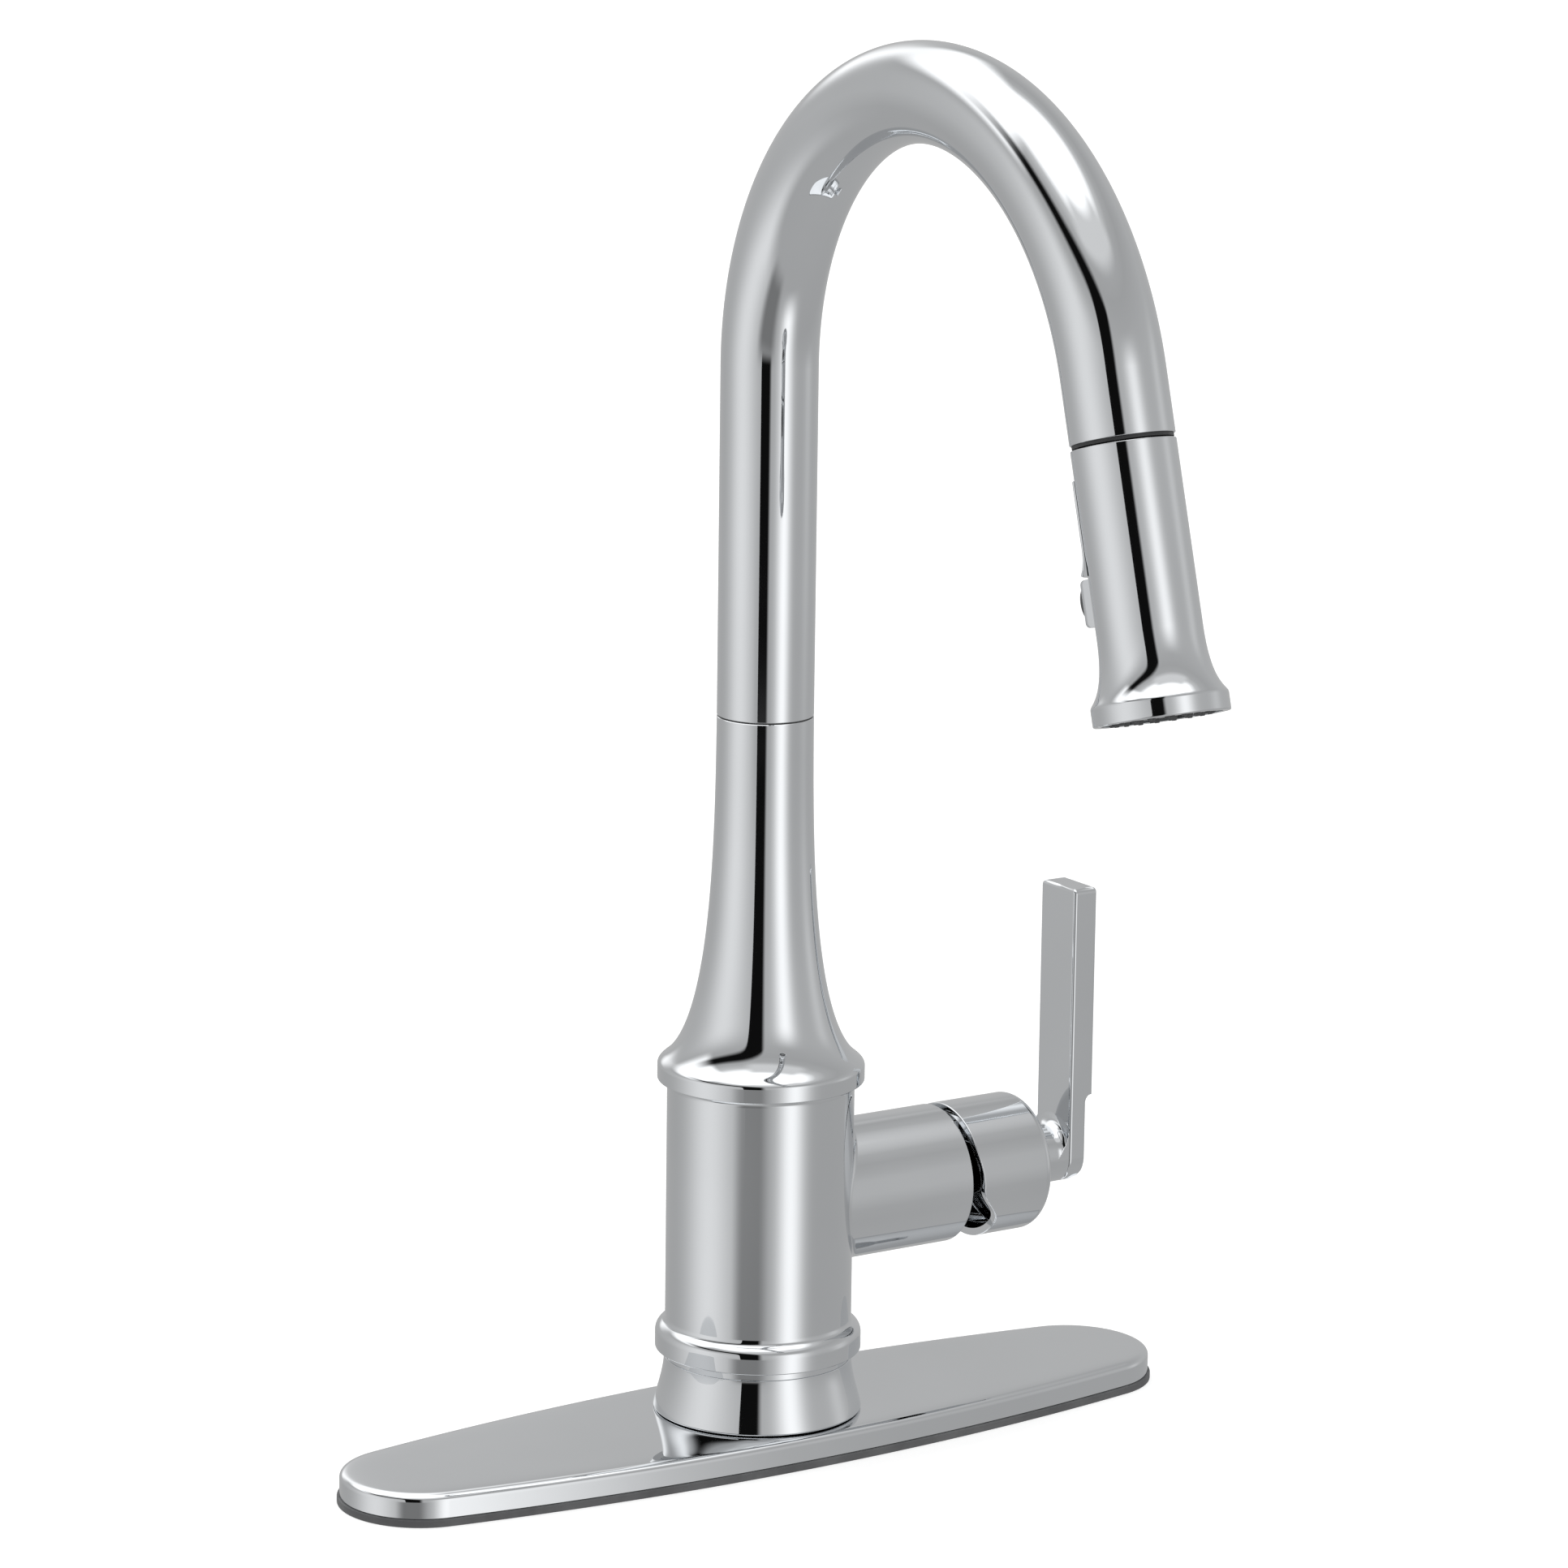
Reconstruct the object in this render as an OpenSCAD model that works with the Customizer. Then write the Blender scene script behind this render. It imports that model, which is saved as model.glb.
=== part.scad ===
// Single-handle pull-down kitchen faucet with a deck plate.
// Frame: +Z up, origin on the riser axis at the underside of the deck plate,
// spout towards -Y, handle towards +X. Millimetres.

/* [Deck plate] */
// Length of the chrome deck plate
plate_l = 266.7; // [260:0.1:272]
// Width of the chrome deck plate at its middle
plate_w = 64.7; // [62:0.1:68]
// Radius of the round ends of the deck plate
plate_re = 22.8; // [20:0.1:26]
// Height of the plate's top face over the deck
plate_top = 9.25; // [8.5:0.05:10]
// Visible thickness of the dark carrier under the plate
carrier_t = 2.2; // [1.8:0.1:2.6]
// How far the carrier shows outside the chrome
carrier_lip = 0.7; // [0.3:0.1:1.2]

/* [Body] */
// Outer radius of the body cylinder
body_r = 26.55; // [26.2:0.05:26.9]
// Outer radius of the two trim rings
ring_r = 29.35; // [28.8:0.05:29.8]
// Underside of the upper collar
collar_z = 106.2; // [105:0.1:108]
// Height of the split between bell and spout
split_z = 211; // [209:0.1:213]

/* [Valve and handle] */
// Height of the valve axis over the deck
valve_z = 69.6; // [68:0.1:71]
// Outer radius of the valve neck and of the handle hub
neck_r = 20; // [19.6:0.05:20.4]
// Where the neck ends, along X
neck_x = 60.6; // [60:0.1:61.2]
// Where the hub's outer face is, along X
hub_x = 88.9; // [88:0.1:90]
// Inner face of the lever blade, along X
blade_x = 102.2; // [100:0.1:104]
// Thickness of the blade
blade_t = 8; // [7:0.1:9]
// Half width of the blade
blade_hw = 8.4; // [8:0.1:8.8]
// Height of the top of the blade
blade_top = 150; // [140:0.5:160]

/* [Spout] */
// Outer radius of the spout tube
tube_r = 13.6; // [13.4:0.05:13.8]
// Wall of the spout tube
tube_wall = 1.3; // [1.2:0.05:1.4]
// Height at which the riser starts to bend
bend_z = 309.7; // [300:0.1:320]
// Radius of the first quarter of the bend
bend_r1 = 83; // [80:0.5:90]
// Radius of the rest of the bend
bend_r2 = 88; // [82:0.5:95]
// Angle of the rest of the bend
bend_a2 = 73.2; // [68:0.1:78]
// Straight length before the tube's mouth
tube_end = 17; // [16:0.5:25]
// Swivel of the spout from straight ahead, as it rests
spout_yaw = -1.83; // [-20:0.01:20]
// Turn of the spray wand about its own axis, as it rests
wand_turn = 12; // [-30:1:30]

/* [Spray wand] */
// Length of the wand from the tube's mouth to its rim
wand_l = 71.6; // [71:0.1:73]
// Radius of the wand's rim band
rim_r = 17.7; // [17.4:0.05:18]
// Radius of the pull-out hose
hose_r = 5.5; // [5:0.1:5.6]
// Number of nozzles in the inner ring
nozzles_in = 12; // [8:1:14]
// Number of nozzles in the outer ring
nozzles_out = 18; // [12:1:22]

/* [Mounting] */
// Thickness of the deck between carrier and washer
deck_t = 30; // [20:1:40]
// Radius of the plain upper shank
shank_r = 16.6; // [16.4:0.05:16.8]

/* [Hidden] */
$fn = 96;
tilt = 90 - bend_a2;                 // mouth axis from vertical
tip_y = -bend_r1 - bend_r2*sin(bend_a2) - tube_end*cos(bend_a2);
tip_z = bend_z + bend_r1 - bend_r2 + bend_r2*cos(bend_a2) - tube_end*sin(bend_a2);
pivot_x = 52;                        // axis of the lever's tilt pin
port_r = 10.2;                       // sockets' distance from the riser axis
port_a = [-55, 55, 0];               // hot, cold, mixed: direction from +X

CHROME = [0.78, 0.79, 0.80];
BRASS = [0.80, 0.66, 0.36];
GREY = [0.36, 0.37, 0.38];
DARK = [0.16, 0.16, 0.17];
WHITE = [0.90, 0.90, 0.88];
STEEL = [0.62, 0.63, 0.65];

// ---------- curves ----------
function bez(a, b, c, d, n) = [for (i = [0:n]) let (t = i/n, u = 1 - t)
  u*u*u*a + 3*u*u*t*b + 3*u*t*t*c + t*t*t*d];
function rev(v) = [for (i = [len(v)-1:-1:0]) v[i]];
function smooth(t) = let (u = min(1, max(0, t))) u*u*(3 - 2*u);

module ring(ro, ri, h) rotate_extrude() translate([ri, 0]) square([ro - ri, h]);
// a ring whose axis is +X, starting at x
module xring(x, ro, ri, h) translate([x, 0, valve_z]) rotate([0, 90, 0])
  if (ri > 0) ring(ro, ri, h); else cylinder(r = ro, h = h);
module xcyl(x, r, h) translate([x, 0, valve_z]) rotate([0, 90, 0]) cylinder(r = r, h = h);
// a plain O-ring about Z
module oring(rc, rm) rotate_extrude() translate([rc, 0]) circle(rm, $fn = 32);

// ---------- oval plate ----------
// Outline of four tangent arcs, two round ends and two long bowed sides,
// drawn in by d. Every outline has the same number of points.
end_a = plate_l/2 - plate_re;
side_r = (end_a*end_a + plate_w*plate_w/4 - plate_re*plate_re)/(plate_w - 2*plate_re);
side_c = side_r - plate_w/2;
end_t = 90 - atan2(end_a, side_c);
function arc(c, r, a0, a1, n) = [for (i = [0:n-1]) let (a = a0 + (a1 - a0)*i/n) c + r*[cos(a), sin(a)]];
function outline(d) = concat(
  arc([end_a, 0], plate_re - d, -end_t, end_t, 24), arc([0, -side_c], side_r - d, end_t, 180 - end_t, 20),
  arc([-end_a, 0], plate_re - d, 180 - end_t, 180 + end_t, 24), arc([0, side_c], side_r - d, 180 + end_t, 360 - end_t, 20));
module oval_in(d) polygon(outline(d));
module oval_band(d0, d1, h) linear_extrude(h) difference() { oval_in(d0); oval_in(d1); }
// Solid through a stack of outlines, each given as [inset, height]
module oval_stack(rings) {
  m = len(outline(0));
  n = len(rings);
  polyhedron(points = [for (r = rings, p = outline(r[0])) [p[0], p[1], r[1]]],
    faces = concat([[for (k = [0:m-1]) k]], [[for (k = [m-1:-1:0]) (n-1)*m + k]],
      [for (i = [0:n-2], k = [0:m-1]) let (a = i*m + k, b = i*m + (k+1)%m) [a, a + m, b + m, b]]));
}

// ---------- deck plate and its carrier ----------
edge_f = 2.2;  // rounding of the plate's top edge
module deck_plate() color(CHROME) difference() {
  oval_stack(concat([[0, carrier_t]], [for (i = [0:6]) let (a = 15*i)
    [edge_f*(1 - cos(a)), plate_top - edge_f*(1 - sin(a))]]));
  translate([0, 0, carrier_t - 1]) linear_extrude(plate_top - carrier_t - 1) oval_in(2.2);
  cylinder(r = 17.4, h = 40);
}
module plate_carrier() color(DARK) difference() {
  union() {
    linear_extrude(carrier_t) oval_in(-carrier_lip);
    translate([0, 0, carrier_t - 0.5]) oval_band(2.6, 4.6, 3.5);
    translate([0, 0, carrier_t - 0.5]) cylinder(r = 27, h = plate_top - 1.5 - carrier_t);
    for (s = [-1, 1], x = [50.8, 101.6]) translate([s*x, 0, carrier_t - 0.5]) cylinder(r = 8, h = plate_top - 1.5 - carrier_t);
    for (s = [-1, 1]) translate([s*66 - 40, -1, carrier_t - 0.5]) cube([80, 2, 3.5]);
    for (s = [-1, 1], x = [38, 76]) translate([s*x - 1, -20, carrier_t - 0.5]) cube([2, 40, 3.5]);
  }
  translate([0, 0, -1]) cylinder(r = 17.4, h = 20);
  for (s = [-1, 1], x = [50.8, 101.6]) translate([s*x, 0, 1.6]) cylinder(r = 4, h = 20);
  translate([0, 0, -1]) oval_band(5, 9, 2);
}
module deck_seal() color([0.10, 0.10, 0.10]) oval_band(5, 9, 1);

// ---------- body ----------
flare = bez([29.7, 10.1], [29.0, 13.6], [26.95, 19], [26.75, 24.4], 16);
module base_flange() color(CHROME) rotate_extrude() polygon(concat(
  [[20.1, 9.45], [23.9, 9.45], [23.9, 11], [27.6, 11], [27.6, 9.45], [29.1, 9.45]],
  flare, [[26.35, 24.9], [26.35, 27.3], [23.85, 27.3], [23.85, 33], [20.1, 33]]));
module base_seal() color(DARK) translate([0, 0, plate_top]) ring(27.5, 24, 11 - plate_top);

shoulder = concat(
  bez([ring_r, 31.7], [ring_r, 33.2], [28.6, 34.2], [27.3, 35.0], 8),
  bez([27.3, 35.0], [26.9, 35.3], [body_r, 35.9], [body_r, 36.8], 5));
module body_shell() color(CHROME) difference() {
  union() {
    rotate_extrude() polygon(concat(
      [[20, 27.3], [ring_r - 0.4, 27.3], [ring_r, 27.7]], shoulder,
      [[body_r, collar_z], [20, collar_z]]));
    difference() {
      xcyl(10, neck_r, neck_x - 10);
      // rounded rim of the neck
      translate([neck_x - 0.8, 0, valve_z]) rotate([0, 90, 0]) rotate_extrude()
        difference() { translate([neck_r - 0.8, 0]) square(2); translate([neck_r - 0.8, 0]) circle(0.8, $fn = 32); }
    }
  }
  translate([0, 0, 20]) cylinder(r = 24, h = 100);
  xcyl(14, 17.1, 60);
}
bell = bez([27.2, 113.0], [13.7, 124], [13.8, 180.5], [tube_r, split_z - 0.2], 40);
collar = bez([ring_r, 110.3], [ring_r, 111.4], [28.3, 112.1], [27.2, 113.0], 7);
module bell_cover() color(CHROME) rotate_extrude() polygon(concat(
  [[21.7, 101], [23.9, 101], [23.9, collar_z], [ring_r - 0.4, collar_z], [ring_r, collar_z + 0.4]],
  collar, [for (i = [1:40]) bell[i]],
  [for (i = [40:-1:8]) if (bell[i][0] - 1.7 < 21.7) [bell[i][0] - 1.7, bell[i][1]]],
  [[21.7, 117.5]]));

// Valve body: foot on the shank, three sockets, cartridge seat, hose passage
module valve_body() color(BRASS) difference() {
  union() {
    translate([0, 0, 9.5]) cylinder(r = 20, h = 38);
    intersection() {
      translate([0, 0, 34]) cylinder(r = 23.7, h = 58);
      translate([-11, -18, 34]) cube([28, 36, 58]);
    }
    translate([0, 0, 90]) cylinder(r = 13.5, h = 14);
  }
  translate([0, 0, 0]) cylinder(r = 6.2, h = 120);
  translate([0, 0, 0]) cylinder(r = 16.3, h = 20);
  for (a = port_a) rotate([0, 0, a]) translate([port_r, 0, 15]) cylinder(r = 3.5, h = 17);
  for (i = [0:2]) rotate([0, 0, port_a[i]]) translate([port_r, 0, 30])
    cylinder(r = 2.6, h = (i == 2 ? valve_z + 8.4 : valve_z - 5.6) - 30 + 2.7);
  for (s = [-1, 1]) translate([port_r*cos(55) - 1, s*port_r*sin(55), valve_z - 5.6]) rotate([0, 90, 0]) cylinder(r = 2.4, h = 20);
  translate([port_r - 1, 0, valve_z + 8.4]) rotate([0, 90, 0]) cylinder(r = 2.4, h = 20);
  translate([0, 0, 94]) cylinder(r = 10, h = 20);
}
module swivel_post() color(BRASS) difference() {
  translate([0, 0, 94]) cylinder(r = 10, h = 156);
  translate([0, 0, 93]) cylinder(r = 7.6, h = 160);
  for (z = [222, 236]) translate([0, 0, z - 0.8]) ring(11, 8.6, 1.6);
  translate([0, 0, 245]) ring(11, 9.2, 1.5);
}
module post_o_rings() color(DARK) for (z = [222, 236]) translate([0, 0, z]) oring(9.32, 0.7);
module post_retaining_ring() color(STEEL) translate([0, 0, 245]) difference() {
  ring(11.7, 9.2, 1.5);
  translate([8, -2.5, -1]) cube([6, 5, 4]);
}
module thrust_ring() color(DARK) translate([0, 0, split_z - 0.2]) ring(13.3, 10.2, 0.4);

// ---------- below the deck ----------
module shank() color(BRASS) difference() {
  union() {
    translate([0, 0, -75]) cylinder(r = 16.3, h = 95);
    translate([0, 0, -deck_t]) cylinder(r = shank_r, h = deck_t);
  }
  translate([0, 0, -76]) cylinder(r = 14.3, h = 100);
}
module rubber_washer() color(DARK) translate([0, 0, -deck_t - 3]) ring(29, 16.4, 3);
module steel_washer() color(STEEL) translate([0, 0, -deck_t - 5]) ring(29, 16.4, 2);
module mounting_nut() color(STEEL) translate([0, 0, -deck_t - 17]) difference() {
  union() { cylinder(r = 25, h = 12, $fn = 6); translate([0, 0, 9]) cylinder(r = 24.5, h = 3); }
  translate([0, 0, -1]) cylinder(r = 16.35, h = 20);
}
module hose_guide() color(WHITE) translate([0, 0, -77]) difference() {
  union() { translate([0, 0, 2]) cylinder(r = 14.2, h = 8); cylinder(r = 16.3, h = 2); }
  translate([0, 0, -1]) cylinder(r = 6.1, h = 20);
  for (a = port_a) rotate([0, 0, a]) {
    translate([port_r, 0, -1]) cylinder(r = 3.9, h = 20);
    translate([port_r, -3.9, -1]) cube([12, 7.8, 20]);
  }
}
module hose_end_fitting() color(BRASS) translate([0, 0, -108]) difference() {
  union() {
    translate([0, 0, 10]) cylinder(r = 7, h = 18);
    translate([0, 0, 5]) cylinder(r = 8.5, h = 6, $fn = 6);
    cylinder(r = 5.2, h = 6);
  }
  translate([0, 0, -1]) cylinder(r = 3, h = 20);
  translate([0, 0, 14]) cylinder(r = 5.7, h = 20);
}

// ---------- cartridge ----------
ports = [[-8.36, -5.6], [8.36, -5.6], [0, 8.4]];  // seat ports in Y, Z
module seat_ports(x, r, h) for (p = ports) translate([x, p[0], valve_z + p[1]]) rotate([0, 90, 0]) cylinder(r = r, h = h);
module cartridge_base() color(WHITE) difference() {
  union() { xcyl(17.2, 16.9, 4.2); xcyl(21, 15.7, 8.3); }
  seat_ports(10, 2.6, 30);
  for (p = ports) translate([17, p[0], valve_z + p[1]]) rotate([0, 90, 0]) ring(4.6, 3.2, 1.25);
}
module seat_seals() color(DARK) for (p = ports) translate([17.63, p[0], valve_z + p[1]]) rotate([0, 90, 0]) oring(3.9, 0.6);
module cartridge_housing() color(GREY) {
  xring(21.4, 16.9, 15.8, 27.7);
  xring(49, 16.9, 13.1, 1.1);
  xring(50, 14.4, 13.1, 6);
}
module fixed_disc() color(WHITE) difference() { xcyl(29.3, 15.7, 3.9); seat_ports(20, 2.6, 20); }
module bonnet_nut() color(BRASS) {
  xring(50.15, 17.05, 14.5, 9.6);
}
module bonnet_ring() color(CHROME) translate([59.8, 0, valve_z]) rotate([0, 90, 0]) rotate_extrude()
  polygon(concat([[11.8, 0], [16.6, 0]], bez([16.6, 0], [16.4, 1.2], [14.5, 1.9], [11.8, 2.0], 6)));
module cartridge_rotor() color(WHITE) difference() {
  union() { xcyl(42.2, 15.6, 6.5); xcyl(48, 13.05, 8.5); }
  translate([41, -3.8, valve_z - 7.5]) cube([17, 7.6, 15.1]);
  translate([pivot_x, -20, valve_z]) rotate([-90, 0, 0]) cylinder(r = 1.5, h = 40);
}
module tilt_pin() color(STEEL) translate([pivot_x, -12.6, valve_z]) rotate([-90, 0, 0]) cylinder(r = 1.5, h = 25.2);
module disc_carrier() color(GREY) difference() { xcyl(36.3, 10.4, 5.6); xcyl(36.9, 3.4, 6); }
module moving_disc() color([0.94, 0.94, 0.92]) difference() {
  xcyl(33.22, 10.4, 3.06);
  translate([33, -5, valve_z - 1]) cube([1.5, 10, 8]);
}

// ---------- handle ----------
module cartridge_stem() color(BRASS) difference() {
  union() {
    translate([40, 0, valve_z]) sphere(3);
    xcyl(40, 2.6, 12);
    xcyl(pivot_x - 3, 3.6, 32);
  }
  translate([pivot_x, -20, valve_z]) rotate([-90, 0, 0]) cylinder(r = 1.55, h = 40);
  translate([76, 2.9, valve_z - 3]) cube([5, 3, 6]);
}
// The hub's open rim: near the neck above, cut back below so the hub can tilt
function rim(z) = neck_x + 2.5 + 1.5*smooth((12 - z)/12)*0.8 + 6.7*smooth((-1 - z)/12);
module hub_profile() rotate_extrude() difference() {
  square([neck_r, hub_x - 61]);
  translate([neck_r - 3, hub_x - 64]) difference() { square(4); circle(3, $fn = 48); }
}
module handle_hub() color(CHROME) difference() {
  translate([61, 0, valve_z]) rotate([0, 90, 0]) hub_profile();
  xcyl(58, 17.8, 8);
  xring(60, 17.8, 8.2, 23.5);
  xcyl(60, 8.3, 7.5);
  xcyl(60, 3.65, 22.2);
  xcyl(80, 4, 12);
  // curved rim
  translate([0, 30, valve_z]) rotate([90, 0, 0]) linear_extrude(60) polygon(concat(
    [[55, 26], [55, -26]], [for (i = [0:40]) let (z = -26 + i*1.3) [rim(z), z]]));
  // set screw hole and its plug seat
  translate([78.5, 0, valve_z]) rotate([-90, 0, 0]) cylinder(r = 2, h = 30);
  translate([78.5, 18.2, valve_z]) rotate([-90, 0, 0]) cylinder(r = 3, h = 10);
}
module set_screw() color(DARK) translate([78.5, 3.0, valve_z]) rotate([-90, 0, 0]) difference() {
  cylinder(r = 1.98, h = 5); translate([0, 0, 2.5]) cylinder(r = 1.1, h = 5, $fn = 6);
}
module index_plug() color(GREY) translate([78.5, 18.3, valve_z]) rotate([-90, 0, 0]) cylinder(r = 2.95, h = 1.3);

// Side outline of the lever in X, Z (about the valve axis)
module lever_side() difference() {
  union() {
    translate([blade_x, -blade_hw]) square([blade_t, blade_top - valve_z + blade_hw]);
    // concave fillet between stem and blade
    translate([blade_x - 3, blade_hw]) difference() { square(3.01); translate([0, 3]) circle(3, $fn = 48); }
  }
  // step that thins the lower part on its outer side
  translate([blade_x + blade_t - 2.2, -20]) square([10, 36]);
  translate([blade_x + blade_t - 2.2 + 2.5, 16]) circle(2.5, $fn = 48);
  // round outer corner below
  translate([blade_x + blade_t - 2.2 - 4.5, -blade_hw - 1]) difference() { square([6, 5.5]); translate([0, 5.5]) circle(4.5, $fn = 48); }
  // eased top corners
  for (m = [0, 1]) translate([blade_x + m*blade_t, blade_top - valve_z]) mirror([m, 0]) translate([1, -1])
    difference() { translate([-2, 0]) square(2); circle(1, $fn = 32); }
}
module lever_front() union() {
  circle(blade_hw);
  translate([-blade_hw, 0]) square([2*blade_hw, blade_top - valve_z - 1.5]);
  for (s = [-1, 1]) translate([s*(blade_hw - 1.5), blade_top - valve_z - 1.5]) circle(1.5, $fn = 48);
  translate([-blade_hw + 1.5, 0]) square([2*blade_hw - 3, blade_top - valve_z]);
}
module lever_blade() color(CHROME) {
  xcyl(hub_x, blade_hw, blade_x - hub_x + 1);
  xcyl(82.5, 3.98, 8);
  intersection() {
    translate([0, 30, valve_z]) rotate([90, 0, 0]) linear_extrude(60) lever_side();
    translate([blade_x - 4, 0, valve_z]) rotate([90, 0, 90]) linear_extrude(14) lever_front();
    // eased upright edges
    translate([0, 0, 50]) linear_extrude(120) union() {
      translate([blade_x - 4, -blade_hw]) square([5, 2*blade_hw]);
      translate([blade_x, -blade_hw + 0.9]) square([blade_t, 2*blade_hw - 1.8]);
      translate([blade_x + 0.9, -blade_hw]) square([blade_t - 1.8, 2*blade_hw]);
      for (s = [-1, 1]) translate([blade_x + blade_t - 0.9, s*(blade_hw - 0.9)]) circle(0.9, $fn = 32);
    }
  }
}

// ---------- spout ----------
module yawed() rotate([0, 0, spout_yaw]) children();
module tip() yawed() translate([0, tip_y, tip_z]) rotate([-tilt, 0, 0]) rotate([0, 0, wand_turn]) children();
module tube_join() difference() { circle(tube_r + 0.02); circle(tube_r - tube_wall - 0.02); }
module tube_section() difference() { circle(tube_r); circle(tube_r - tube_wall); }
module spout_tube() color(CHROME) yawed() {
  translate([0, 0, split_z + 0.2]) linear_extrude(bend_z - split_z - 0.2) tube_section();
  translate([0, -bend_r1, bend_z]) rotate([90, 0, 90]) rotate_extrude(angle = 90, $fn = 180) translate([bend_r1, 0]) tube_section();
  translate([0, -bend_r1, bend_z + bend_r1 - bend_r2]) rotate([90, 0, 90]) rotate_extrude(angle = bend_a2, start = 90, $fn = 180) translate([bend_r2, 0]) tube_section();
  translate([0, tip_y, tip_z]) rotate([-tilt, 0, 0]) linear_extrude(tube_end) tube_section();
  // the tube runs on through both tangent points
  translate([0, 0, bend_z - 0.3]) linear_extrude(0.6) tube_join();
  translate([0, tip_y, tip_z]) rotate([-tilt, 0, 0]) translate([0, 0, tube_end - 0.3]) linear_extrude(0.6) tube_join();
}
module spout_bushing() color(WHITE) yawed() translate([0, 0, split_z + 0.6]) ring(tube_r - tube_wall, 10.06, 244.6 - split_z - 0.6);
module dock_bush() color(DARK) tip() rotate_extrude() polygon([
  [10.3, -0.9], [13.1, -0.9], [13.1, -0.02], [12.25, -0.02], [12.25, 14], [7.6, 14], [7.6, 10.5], [10.3, 9.5]]);
module dock_magnet() color(STEEL) tip() translate([0, 0, 14.1]) ring(12.2, 8.2, 3.4);

// ---------- hose ----------
// Centreline in Y, Z with its direction angle: straight up, over, and down
hose_path = concat(
  [for (i = [0:13]) [0, -94 + i*31, 90]],
  [for (i = [0:9]) [-bend_r1 + bend_r1*cos(10*i), bend_z + bend_r1*sin(10*i), 90 + 10*i]],
  [for (i = [1:5]) let (a = 90 + i*bend_a2/8) [-bend_r1 + bend_r2*cos(a), bend_z + bend_r1 - bend_r2 + bend_r2*sin(a), 90 + a]],
  // straight through the ferrule
  [for (s = [45, 31, 9]) [tip_y + s*cos(bend_a2), tip_z + s*sin(bend_a2), 180 + bend_a2]]);
module tube_along(path, r, sides) {
  pts = [for (p = path, k = [0:sides-1]) let (a = 360*k/sides)
    [r*cos(a), p[0] - r*sin(a)*sin(p[2]), p[1] + r*sin(a)*cos(p[2])]];
  n = len(path);
  polyhedron(points = pts, faces = concat(
    [[for (k = [0:sides-1]) k]], [[for (k = [sides-1:-1:0]) (n-1)*sides + k]],
    [for (i = [0:n-2], k = [0:sides-1]) let (a = i*sides + k, b = i*sides + (k+1)%sides) [a, a + sides, b + sides, b]]));
}
module spray_hose() color(GREY) yawed() tube_along(hose_path, hose_r, 12);
module hose_ferrule() color(STEEL) tip() translate([0, 0, 9]) ring(6.8, 5.65, 21);
module hose_nut() color(BRASS) tip() {
  translate([0, 0, 8]) ring(6.8, 3.5, 0.9);
  translate([0, 0, -10.5]) ring(7.24, 3.5, 18.5);
}

// ---------- wand ----------
wand_flare = bez([13.6, -49.0], [13.56, -63.8], [17.23, -65.2], [rim_r - 0.05, -66.7], 14);
module sector(r0, r1, half, z0, z1) rotate_extrude(angle = 2*half, start = 90 - half) translate([r0, z0]) square([r1 - r0, z1 - z0]);
module wand_shell() color(CHROME) tip() difference() {
  rotate_extrude() polygon(concat(
    [[11.5, -1.3], [13.3, -1.3], [13.6, -1.6]], wand_flare,
    [[rim_r, -67.1], [rim_r, -wand_l + 0.5], [rim_r - 0.5, -wand_l], [15.7, -wand_l], [15.7, -65], [11.5, -56]]));
  sector(13.0, 16, 50.4, -33.2, -8.6);
  translate([-7.1, 7, -46.2]) cube([14.2, 11, 13.1]);
}
module wand_spine() color(CHROME) tip() rotate_extrude(angle = 100, start = 40) polygon([
  [13.0, -8.7], [13.9, -8.7], [14.15, -9.1], [14.15, -27], [14.3, -29], [14.75, -31.4], [15.3, -32.7], [15.2, -33.1], [13.0, -33.1]]);
module wand_core() color(GREY) tip() difference() {
  union() {
    rotate_extrude() polygon([[0, -58], [11.3, -56], [11.3, -1.5], [9.9, -1.2], [9.9, 7.2], [9.2, 8], [0, 8]]);
  }
  translate([0, 0, -10.7]) cylinder(r = 7.3, h = 30);
  translate([0, 0, -12.2]) cylinder(r = 7.3, h = 3);
  translate([0, 0, -24.2]) cylinder(r = 5.6, h = 14);
  translate([0, 0, -40]) cylinder(r = 3, h = 20);
  translate([0, 0, -60]) cylinder(r = 3.6, h = 25);
  translate([-10, 7.9, -47.2]) cube([20, 8, 15]);
  translate([0, 6, -39.8]) rotate([-90, 0, 0]) cylinder(r = 3.2, h = 10);
  translate([0, 0, 6.6]) ring(12, 8.6, 3);
}
module dock_plate() color(STEEL) tip() translate([0, 0, 6.65]) ring(9.6, 8.6, 1.3);
module inlet_screen() color(STEEL) tip() translate([0, 0, -12.1]) difference() {
  cylinder(r = 7.2, h = 1.3);
  for (x = [-2:2], y = [-2:2]) translate([x*1.9, y*1.9, -1]) cube([1.2, 1.2, 4], center = false);
}
module check_valve() color(WHITE) tip() translate([0, 0, -24.1]) difference() {
  cylinder(r = 5.55, h = 11.9);
  translate([0, 0, -1]) cylinder(r = 2, h = 20);
  translate([0, 0, 8]) cylinder(r = 4, h = 6);
}
module each_nozzle() {
  for (i = [0:nozzles_in-1]) rotate([0, 0, i*360/nozzles_in]) translate([9.3, 0, 0]) children();
  for (i = [0:nozzles_out-1]) rotate([0, 0, (i + 0.5)*360/nozzles_out]) translate([12.7, 0, 0]) children();
}
module spray_plate() color(GREY) tip() difference() {
  translate([0, 0, -70.4]) cylinder(r = 15.6, h = 5);
  translate([0, 0, -75]) cylinder(r = 6.15, h = 20);
  each_nozzle() translate([0, 0, -75]) cylinder(r = 0.95, h = 20, $fn = 24);
  translate([0, 0, -68.8]) ring(17, 14.4, 1.6);
}
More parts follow.
